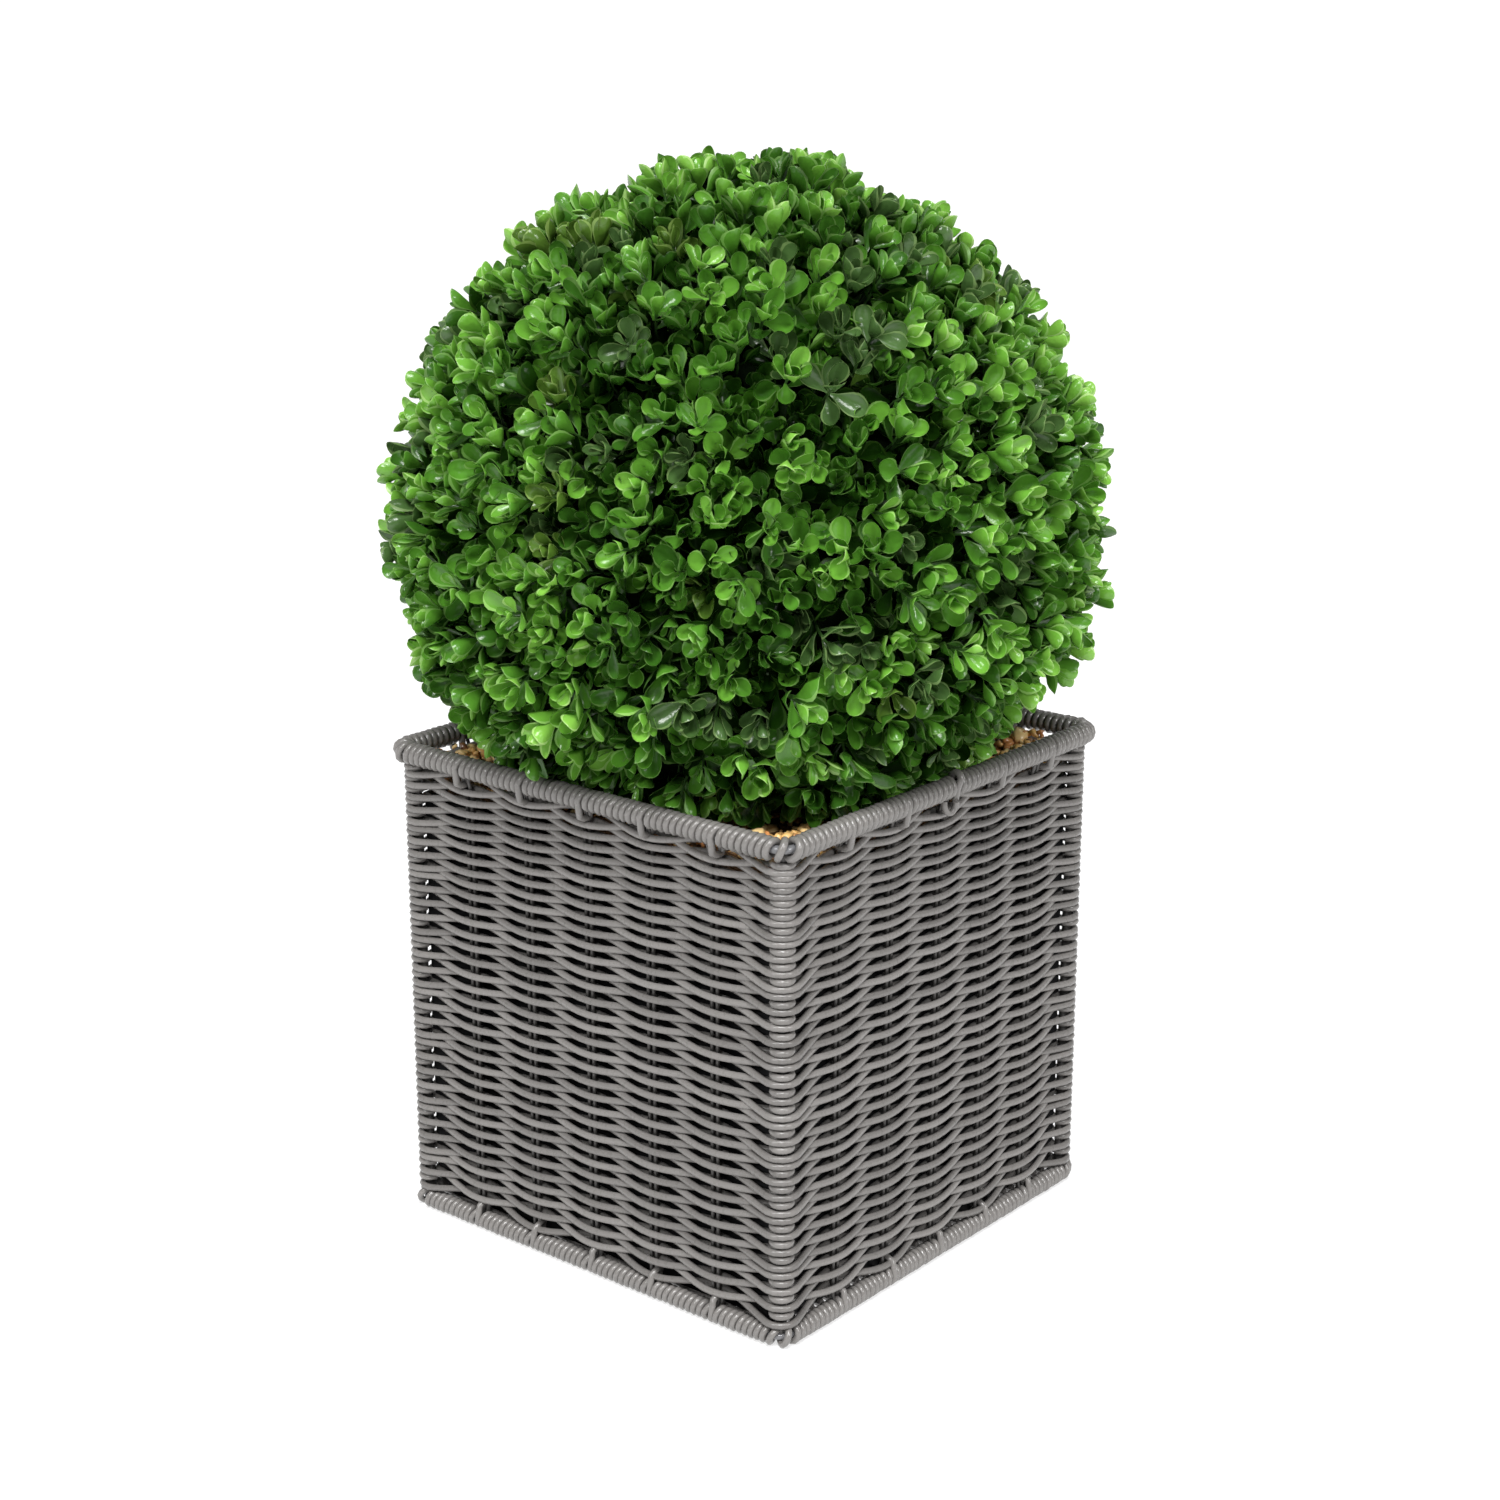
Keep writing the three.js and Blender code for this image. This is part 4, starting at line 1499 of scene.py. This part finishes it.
    def leaf(self, cup: float, curl: float, twist: float, rows: int = 9) -> Pattern:
        """One spoon-shaped leaf of length 1 along +X, face up, its rim marked 1.

        Args:
            cup: how deep its bowl is.
            curl: how much it bends up along its length.
            twist: how much it leans to one side.
            rows: how many cuts there are along it.

        Returns:
            The leaf's pattern.
        """
        made = bmesh.new()
        bmesh.ops.create_grid(made, x_segments=rows - 1, y_segments=4, size=0.5)
        tip_rows = rows // 2
        round_tip = np.sin(np.linspace(0, math.pi / 2, tip_rows + 1)[1:])
        along_rows = np.concatenate([
            np.linspace(0, 1, rows - tip_rows) * self.widest,
            self.widest + (1 - self.widest) * round_tip,
        ])
        for face in made.faces:
            centre = face.calc_center_median()
            face.material_index = int(abs(centre.y) > 0.25 or centre.x > 0.5 - 1 / (rows - 1))
        for vertex in made.verts:
            along = float(np.interp(vertex.co.x + 0.5, np.linspace(0, 1, rows), along_rows))
            across = float(np.interp(abs(vertex.co.y), (0, 0.25, 0.5), (0, self.rim_start, 1)))
            across = math.copysign(across, vertex.co.y)
            if along < self.widest:
                swell = along / self.widest
                swell = (swell * swell * (3 - 2 * swell)) ** 0.85
                half = self.stalk_width + (1 - self.stalk_width) * swell
            else:
                half = math.sqrt(max(0.0, 1 - ((along - self.widest) / (1 - self.widest)) ** 2))
            beyond = max(0.0, along - self.bowl) / (1 - self.bowl)
            bowl = cup * self.leaf_width / 2 * (beyond**2 + (half * across) ** 2)
            half *= self.leaf_width / 2
            lean = twist * across * half * along
            vertex.co = (along, half * across, bowl + curl * along**2 + lean)
        bmesh.ops.remove_doubles(made, verts=made.verts, dist=1e-4)
        return Pattern.cut(made)

    def allowed(self, points: np.ndarray) -> np.ndarray:
        """Which points lie inside the box of the solid ball, over the mulch and off the rim.

        Args:
            points: points in the last axis.

        Returns:
            True for each allowed point.
        """
        inside = np.all((points >= self.low) & (points <= self.high), axis=-1)
        inside &= points[..., 2] > self.foliage_floor
        sideways = np.max(np.abs(points[..., :2]), axis=-1)
        beside = sideways < self.rim_outside - self.rim_thickness - self.rim_margin
        above = points[..., 2] > self.rim_top + self.rim_margin
        beyond = sideways > self.rim_outside + self.rim_margin
        return inside & (beside | above | beyond)

    def skirt_directions(self) -> np.ndarray:
        """Spreads the sprays that fill the space over the mulch.

        Returns:
            Their directions.
        """
        number = np.arange(self.skirt)
        low, high = self.skirt_heights
        z = high + (low - high) * (number + 0.5) / self.skirt
        level = np.sqrt(1 - z * z)
        angle = number * GOLDEN_ANGLE
        return np.column_stack([level * np.cos(angle), level * np.sin(angle), z])

    def spray_directions(self) -> tuple[np.ndarray, np.ndarray, np.ndarray]:
        """Spreads the sprays: one on each arm of the pegs, and the skirt.

        Returns:
            The peg of each spray, its direction, and True for the outer ones.
        """
        pegs, arms = np.divmod(np.arange(self.pegs * self.arms), self.arms)
        directions = np.array([self.arm_direction(p, a) for p, a in zip(pegs, arms)])
        skirt = self.skirt_directions()
        middles = np.array([self.peg_direction(peg) for peg in range(self.pegs)])
        pegs = np.concatenate([pegs, np.argmax(skirt @ middles.T, axis=1)])
        outer = np.concatenate([arms % 2 == 0, np.zeros(self.skirt, bool)])
        directions = np.concatenate([directions, skirt])
        share = TAU * (1 - self.lowest_direction) / outer.sum()
        spacing = math.sqrt(share * 2 / math.sqrt(3))
        directions[outer] = self.settle(directions[outer], spacing * self.outer_spacing)
        return pegs, self.settle(directions, spacing * self.inner_spacing), outer

    def spray_tips(self, directions: np.ndarray, outer: np.ndarray) -> np.ndarray:
        """Clips the sprays to a lumpy ball that keeps clear of the mulch and the rim.

        Args:
            directions: one row for each spray.
            outer: True for the outer sprays.

        Returns:
            The sprays' tips.
        """
        random = np.random.default_rng(self.seed)
        lumps = np.array([noise.noise(Vector(d) * self.lump_scale) for d in directions])
        uneven = lumps * self.lumps + random.normal(0, self.unevenness, len(directions))
        radius = self.tip_radius + uneven.clip(*self.tip_range)
        inner = ~outer & (np.arange(len(directions)) < self.pegs * self.arms)
        radius -= np.where(inner, self.inner_drop, 0)
        heights = directions[:, 2]
        toward = np.clip(directions[:, :2] @ np.array(self.flat_side), 0, 1) ** 2
        start, full = self.low_zone
        radius -= np.clip((start - heights) / (start - full), 0, 1) * (
            self.low_depth + self.flat_depth * toward
        )
        down = np.minimum(heights, -1e-6)
        lowest = self.foliage_floor + self.tip_margin - self.middle[2]
        radius = np.minimum(radius, lowest / down)
        sideways = np.max(np.abs(directions[:, :2]), axis=1)
        inside_rim = self.rim_outside - self.rim_thickness - self.tip_margin
        low = self.middle[2] + heights * radius < self.rim_top + self.tip_margin
        radius = np.where(low, np.minimum(radius, inside_rim / sideways), radius)
        return self.middle + directions * radius[:, None]

    def tones(self, directions: np.ndarray) -> np.ndarray:
        """Deals the greens out by spray, in loose patches, with painted shade on half the low
        sprays.

        Args:
            directions: one row for each spray.

        Returns:
            The number of each spray's green.
        """
        random = np.random.default_rng(self.seed + 5)
        shares = np.cumsum([tone.share for tone in LeafTone])
        patch = np.array([noise.noise(Vector(d) * self.patch_scale) for d in directions])
        draw = random.random(len(directions)) * (1 - self.patch_share)
        draw += (patch * 0.9 + 0.5) * self.patch_share
        numbers = np.searchsorted(shares / shares[-1], np.clip(draw, 0, 0.9999))
        # Painted shade: half the sprays low on the ball go a green deeper.
        shaded_low_sprays = (directions[:, 2] < self.shaded_below) & (random.random(len(directions)) < 0.5)
        return np.where(shaded_low_sprays & (numbers < LeafTone.DEEP.number), numbers + 1, numbers)

    def build_core(self, material: bpy.types.Material) -> None:
        """Builds the dimpled ball that the sprays are pushed into.

        Args:
            material: its material.
        """
        made = bmesh.new()
        bmesh.ops.create_icosphere(made, subdivisions=5, radius=self.core_radius)
        for vertex in made.verts:
            ripple = noise.noise(vertex.co * self.core_ripple_scale)
            vertex.co *= 1 + self.core_ripple * ripple
        bmesh.ops.translate(made, vec=self.middle, verts=made.verts)
        everything = made.verts[:] + made.edges[:] + made.faces[:]
        cut = bmesh.ops.bisect_plane(made, geom=everything, plane_co=(0, 0, self.core_floor),
                                     plane_no=UP, clear_inner=True)
        edges = [item for item in cut["geom_cut"] if isinstance(item, bmesh.types.BMEdge)]
        bmesh.ops.contextual_create(made, geom=edges)
        seat(from_bmesh("ball_core", made), ["foliage_ball"], material)

    def twig_routes(
        self, pegs: np.ndarray, directions: np.ndarray, axes: np.ndarray, tips: np.ndarray
    ) -> list[np.ndarray]:
        """The twigs, which fork from their peg inside the core and end along their sprays.

        Args:
            pegs: the peg of each spray.
            directions: where each spray stands.
            axes: which way each spray points.
            tips: where each spray ends.

        Returns:
            The points of each twig.
        """
        feet = self.middle + np.array([self.peg_direction(p) for p in pegs]) * self.twig_foot
        knees = self.middle + directions * self.twig_knee
        ends = tips - axes * self.twig_run
        share = np.linspace(0, 1, 7)[None, :, None]
        curve = (
            feet[:, None] * (1 - share) ** 3
            + 3 * knees[:, None] * (1 - share) ** 2 * share
            + 3 * ends[:, None] * (1 - share) * share**2
            + tips[:, None] * share**3
        )
        return list(curve)

    def leaf_frames(
        self, axes: np.ndarray, tips: np.ndarray, random: np.random.Generator
    ) -> tuple[np.ndarray, np.ndarray, np.ndarray, np.ndarray]:
        """Places the leaves of all sprays.

        Args:
            axes: which way each spray points.
            tips: where each spray ends.
            random: the source of the small differences.

        Returns:
            For each leaf its axes as columns, its root, its spray and its pair's number.
        """
        count = len(axes)
        helper = np.where(np.abs(axes[:, 2:]) < 0.9, [[0, 0, 1.0]], [[1.0, 0, 0]])
        first = unit(np.cross(helper, axes))
        second = np.cross(axes, first)
        roll = random.uniform(0, TAU, count)
        vigour = random.uniform(*self.spray_sizes, count)
        frames, roots, owners, pairs = [], [], [], []
        for number, node in enumerate(self.nodes):
            for half in (0, 1):
                angle = roll + number * math.pi / 2 + half * math.pi
                angle = angle + random.normal(0, self.turn_jitter, count)
                splay = np.radians(node.splay + random.normal(0, self.splay_jitter, count))
                out = first * np.cos(angle)[:, None] + second * np.sin(angle)[:, None]
                along = axes * np.cos(splay)[:, None] + out * np.sin(splay)[:, None]
                face = axes * np.sin(splay)[:, None] - out * np.cos(splay)[:, None]
                across = np.cross(face, along)
                rock = random.normal(0, self.rock, count)[:, None]
                face, across = (face * np.cos(rock) + across * np.sin(rock),
                                across * np.cos(rock) - face * np.sin(rock))
                length = node.length * vigour * random.uniform(*self.leaf_sizes, count)
                length *= np.where(random.random(count) < self.large_share, self.large_size, 1)
                frame = np.stack([along, across, face], axis=2) * length[:, None, None]
                frames.append(frame)
                roots.append(tips - axes * node.depth + out * self.root_offset)
                owners.append(np.arange(count))
                pairs.append(np.full(count, number))
        return tuple(np.concatenate(item) for item in (frames, roots, owners, pairs))

    def build(self) -> None:
        """Builds the core, the twigs and the leaves."""
        # The core is a real part, but its near-black colour and scant gloss are painted shade for
        # the deep gaps between the sprays.
        dark = CrumbFinish("ball_core", (0.002, 0.005, 0.0015), (0.005, 0.012, 0.003), 240.0,
                           gloss=0.03)
        self.build_core(dark.material())
        random = np.random.default_rng(self.seed + 2)
        pegs, directions, outer = self.spray_directions()
        tips = self.spray_tips(directions, outer)
        tilt = random.normal(0, self.tilt, directions.shape)
        axes = unit(directions + tilt + np.array([0, 0, self.upward]))
        twigs = self.twig_routes(pegs, directions, axes, tips)
        green = PlainFinish("twig_green", (0.045, 0.115, 0.022), 0.5).material()
        made = tubes("twigs", twigs, self.twig_radius, False, 0)
        seat(made, ["foliage_ball"], green)
        self.build_leaves(axes, tips, self.tones(directions), outer, random)

    def leaf_greens(
        self,
        tones: np.ndarray,
        outer: np.ndarray,
        owners: np.ndarray,
        pairs: np.ndarray,
        random: np.random.Generator,
    ) -> np.ndarray:
        """Deals each leaf its green: a painted shade, a green deeper, low in a spray, and a
        painted highlight, a green brighter, often near its tip.

        Args:
            tones: the number of each spray's green.
            outer: True for the outer sprays.
            owners: the spray of each leaf.
            pairs: the number of its pair.
            random: the source of the small differences.

        Returns:
            The number of each leaf's green.
        """
        shade = LeafTone.SHADE.number
        greens = tones[owners]
        # Painted shade: leaves low in a spray, and those of a third of the inner sprays, go a
        # green deeper.
        steps = sum((pairs >= pair).astype(int) for pair in self.painted_shade_pairs)
        steps += ~outer[owners] & (owners % 3 == 0)
        greens = np.where(greens < shade, np.minimum(greens + steps, shade), greens)
        greens = np.where((greens > shade) & (steps >= 2), shade, greens)
        # Painted highlight: half the leaves near an outer spray's tip go a green brighter.
        highlit_leaves = outer[owners] & np.isin(pairs, self.painted_highlight_pairs)
        highlit_leaves &= random.random(len(owners)) < 0.5
        return np.where(highlit_leaves & (greens > 0) & (greens < shade), greens - 1, greens)

    def leaf_materials(self) -> list[bpy.types.Material]:
        """Mixes two finishes for each green: one for a leaf's face, one for its rim.

        Returns:
            The materials, in the order of the greens.
        """
        materials = []
        for tone in LeafTone:
            label = tone.name.lower()
            gloss = self.shade_gloss if tone is LeafTone.SHADE else self.leaf_gloss
            face = PlainFinish(f"leaf_{label}", tone.face, roughness=0.22, relief=0.5, gloss=gloss)
            rim = PlainFinish(f"rim_{label}", tone.rim, roughness=0.34, relief=0.25,
                              gloss=gloss * self.rim_gloss)
            materials += [face.material(), rim.material()]
        return materials

    def build_leaves(
        self,
        axes: np.ndarray,
        tips: np.ndarray,
        tones: np.ndarray,
        outer: np.ndarray,
        random: np.random.Generator,
    ) -> None:
        """Builds the leaves in a few joined pieces.

        Args:
            axes: which way each spray points.
            tips: where each spray ends.
            tones: the number of each spray's green.
            outer: True for the outer sprays.
            random: the source of the small differences.
        """
        frames, roots, owners, pairs = self.leaf_frames(axes, tips, random)
        patterns = [self.leaf(*shape) for shape in self.leaf_shapes]
        kinds = random.integers(len(patterns), size=len(roots))
        kinds[pairs == 0] = len(patterns)
        patterns.append(self.leaf(*self.bud_shape, self.bud_rows))
        greens = self.leaf_greens(tones, outer, owners, pairs, random)
        # The inner sprays have no buds, and the outer ones no lowest pair.
        kept = np.where(outer[owners], pairs < len(self.nodes) - 1, pairs > 0)
        materials = self.leaf_materials()
        for part in range(self.pieces):
            stamper = Stamper()
            for kind, pattern in enumerate(patterns):
                chosen = np.flatnonzero(kept & (kinds == kind) & (owners % self.pieces == part))
                for size in self.fitting_sizes:
                    placed = np.einsum("cij,pj->cpi", frames[chosen] * size, pattern.points)
                    fits = self.allowed(placed + roots[chosen][:, None, :]).all(axis=1)
                    good = chosen[fits]
                    stamper.stamp(pattern, frames[good] * size, roots[good], greens[good] * 2)
                    chosen = chosen[~fits]
            seat(stamper.piece(f"leaves_{part + 1}", materials), ["foliage_ball"])


# ---- Studio -------------------------------------------------------------------------------


@dataclass
class Studio:
    """Camera, floor and soft lights."""

    lens: float = 65.63
    elevation: float = 16.757  # of the camera, in degrees
    yaw: float = math.radians(39.613)
    distance: float = 1.4205
    aim_height: float = 0.25
    aim_side: float = 0.94 * MM
    front_power: float = 2.85
    back_power: float = 0.45
    panel_spread: float = 26.0  # how wide a panel looks, in degrees
    panel_height: float = 60.0  # in degrees
    panel_distance: float = 5.0
    lamp_power: float = 20.0
    lamp_size: float = 0.55
    lamp_distance: float = 2.6
    overhead: float = 0.19
    floor_radius: float = 60.0
    floor_glow: float = 0.66
    dark_radius: float = 0.09  # how far the floor is dark under the planter
    dark_edge: float = 28.0  # how steeply its light starts there, for each metre

    def camera(self) -> None:
        """Sets up the camera."""
        right = Vector((math.cos(self.yaw), math.sin(self.yaw), 0))
        back = self.toward(0, self.elevation)
        target = Vector((0, 0, self.aim_height)) + right * self.aim_side
        data = bpy.data.cameras.new("camera")
        data.lens = self.lens
        data.clip_end = 200
        holder = bpy.data.objects.new("camera", data)
        holder.location = target + back * self.distance
        holder.rotation_euler = back.to_track_quat("Z", "Y").to_euler()
        bpy.context.scene.collection.objects.link(holder)
        bpy.context.scene.camera = holder

    def floor(self) -> None:
        """Lays a pale floor, lit from within like a light table but dark under the planter."""
        made = bmesh.new()
        bmesh.ops.create_circle(made, cap_ends=True, segments=64, radius=self.floor_radius)
        floor = from_bmesh("floor", made, False)
        shader = Shader("pale_floor")
        away = shader.node("ShaderNodeVectorMath", {"operation": "LENGTH"},
                           {"Vector": shader.place()}, "Value")
        lit = ((away - self.dark_radius) * self.dark_edge).clamped()
        shader.dress({"Base Color": (0.4, 0.4, 0.4), "Roughness": 0.9,
                      "Emission Color": shader.blend(lit, (0.0, 0.0, 0.0), (1.0, 1.0, 1.0)),
                      "Emission Strength": self.floor_glow})
        floor.data.materials.append(shader.material)
        floor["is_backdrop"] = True

    def toward(self, azimuth: float, elevation: float) -> Vector:
        """A direction from the part.

        Args:
            azimuth: degrees to the right of the camera.
            elevation: degrees over the floor.

        Returns:
            The direction.
        """
        turn = self.yaw + math.radians(azimuth)
        level = math.cos(math.radians(elevation))
        return Vector((math.sin(turn) * level, -math.cos(turn) * level,
                       math.sin(math.radians(elevation))))

    def hang(self, data: bpy.types.Light, direction: Vector, distance: float) -> None:
        """Hangs a lamp that points at the part.

        Args:
            data: the lamp.
            direction: where it hangs, seen from the part.
            distance: how far away.
        """
        holder = bpy.data.objects.new(data.name, data)
        holder.location = Vector((0, 0, self.aim_height)) + direction * distance
        holder.rotation_euler = direction.to_track_quat("Z", "Y").to_euler()
        bpy.context.scene.collection.objects.link(holder)

    def panel(self, name: str, azimuth: float, power: float) -> None:
        """Hangs one wide, even light that reaches the whole floor.

        Args:
            name: the light's name.
            azimuth: degrees to the right of the camera.
            power: its strength.
        """
        data = bpy.data.lights.new(name, "SUN")
        data.energy = power
        data.angle = math.radians(self.panel_spread)
        self.hang(data, self.toward(azimuth, self.panel_height), self.panel_distance)

    def backdrop(self) -> None:
        """Sets up a surround that is white at the floor's edge and dim overhead."""
        world = bpy.data.worlds.new("studio")
        world.use_nodes = True
        nodes = Nodes(world.node_tree)
        where = nodes.node("ShaderNodeTexCoord", output="Generated")
        upward = nodes.node("ShaderNodeSeparateXYZ", {}, {"Vector": where}, "Z")
        limits = {"From Min": 0.05, "From Max": 0.18, "To Min": 1.0, "To Max": self.overhead}
        strength = nodes.node("ShaderNodeMapRange", {}, {"Value": upward, **limits})
        background = world.node_tree.nodes["Background"]
        nodes.feed(background, {"Color": (1.0, 1.0, 1.0), "Strength": strength})
        bpy.context.scene.world = world

    def lamp(self, name: str, azimuth: float, elevation: float, power: float) -> None:
        """Hangs a soft square lamp.

        Args:
            name: the lamp's name.
            azimuth: degrees to the right of the camera.
            elevation: degrees over the floor.
            power: its watts.
        """
        data = bpy.data.lights.new(name, "AREA")
        data.size = self.lamp_size
        data.energy = power
        self.hang(data, self.toward(azimuth, elevation), self.lamp_distance)

    def build(self) -> None:
        """Sets up the camera, floor and lights."""
        self.camera()
        self.floor()
        self.backdrop()
        bpy.context.scene.view_settings.view_transform = "Standard"
        self.panel("front_panel", -2, self.front_power)
        self.panel("back_panel", 172, self.back_power)
        self.lamp("left_lamp", -38, 34, self.lamp_power)
        self.lamp("right_lamp", 42, 30, self.lamp_power)


# ---- Putting it together ------------------------------------------------------------------


def dress_hidden_solids() -> None:
    """Gives the solids that stay in place their finishes."""
    foam = CrumbFinish("foam_block", (0.03, 0.02, 0.014), (0.075, 0.05, 0.032), 160.0)
    dust = CrumbFinish("bark_dust", (0.05, 0.026, 0.012), (0.24, 0.12, 0.045), 190.0)
    for node, finish in (("filling_block", foam), ("mulch", dust)):
        mesh = frame["nodes"][node].data
        mesh.materials.clear()
        mesh.materials.append(finish.material())


def main() -> None:
    """Builds every sub-assembly in order."""
    logging.basicConfig(level=logging.INFO, format="%(message)s")
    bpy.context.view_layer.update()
    Studio().build()
    cane = CaneFinish().material()
    rim_cane = CaneFinish("rim_cane", dark=(0.13, 0.123, 0.117), light=(0.26, 0.246, 0.234),
                          roughness=0.24, coat=0.3).material()
    wire = WireFinish().material()
    rod = PlainFinish("glossy_rod", (0.17, 0.17, 0.178), roughness=0.18, coat=0.5,
                      relief=0.1).material()
    wall = WovenWall()
    top = WoundRim("top_rim", LoopSide.DOWN, loop_reach=6.5 * MM, loop_tuck=3 * MM,
                   lean=0.3 * MM, lean_in=0.0, cane=3.8 * MM, pitch=4 * MM, corner=7.5 * MM,
                   stray_loop=9.12)
    foot = WoundRim("foot_rim", LoopSide.UP, loop_reach=6 * MM, loop_tuck=3.8 * MM,
                    lean=0.3 * MM, lean_in=1.1 * MM, cane=3.5 * MM, pitch=3.7 * MM,
                    corner=6.3 * MM, swell=0.5 * MM)
    wall.build(cane)
    top.build(rim_cane, rod)
    foot.build(rim_cane, rod)
    CaneEnd().build(top, rim_cane)
    WireFrame().build(wall, top, foot, wire)
    WovenFloor().build(cane, wire)
    FilmLiner().build(FilmFinish().material())
    BarkMulch().build()
    bark = CrumbFinish("stem_bark", (0.03, 0.017, 0.009), (0.12, 0.07, 0.035), 150.0,
                       (1.0, 1.0, 0.3))
    Stem().build(bark.material())
    FoliageBall().build()
    dress_hidden_solids()


if __name__ == "__main__":
    main()
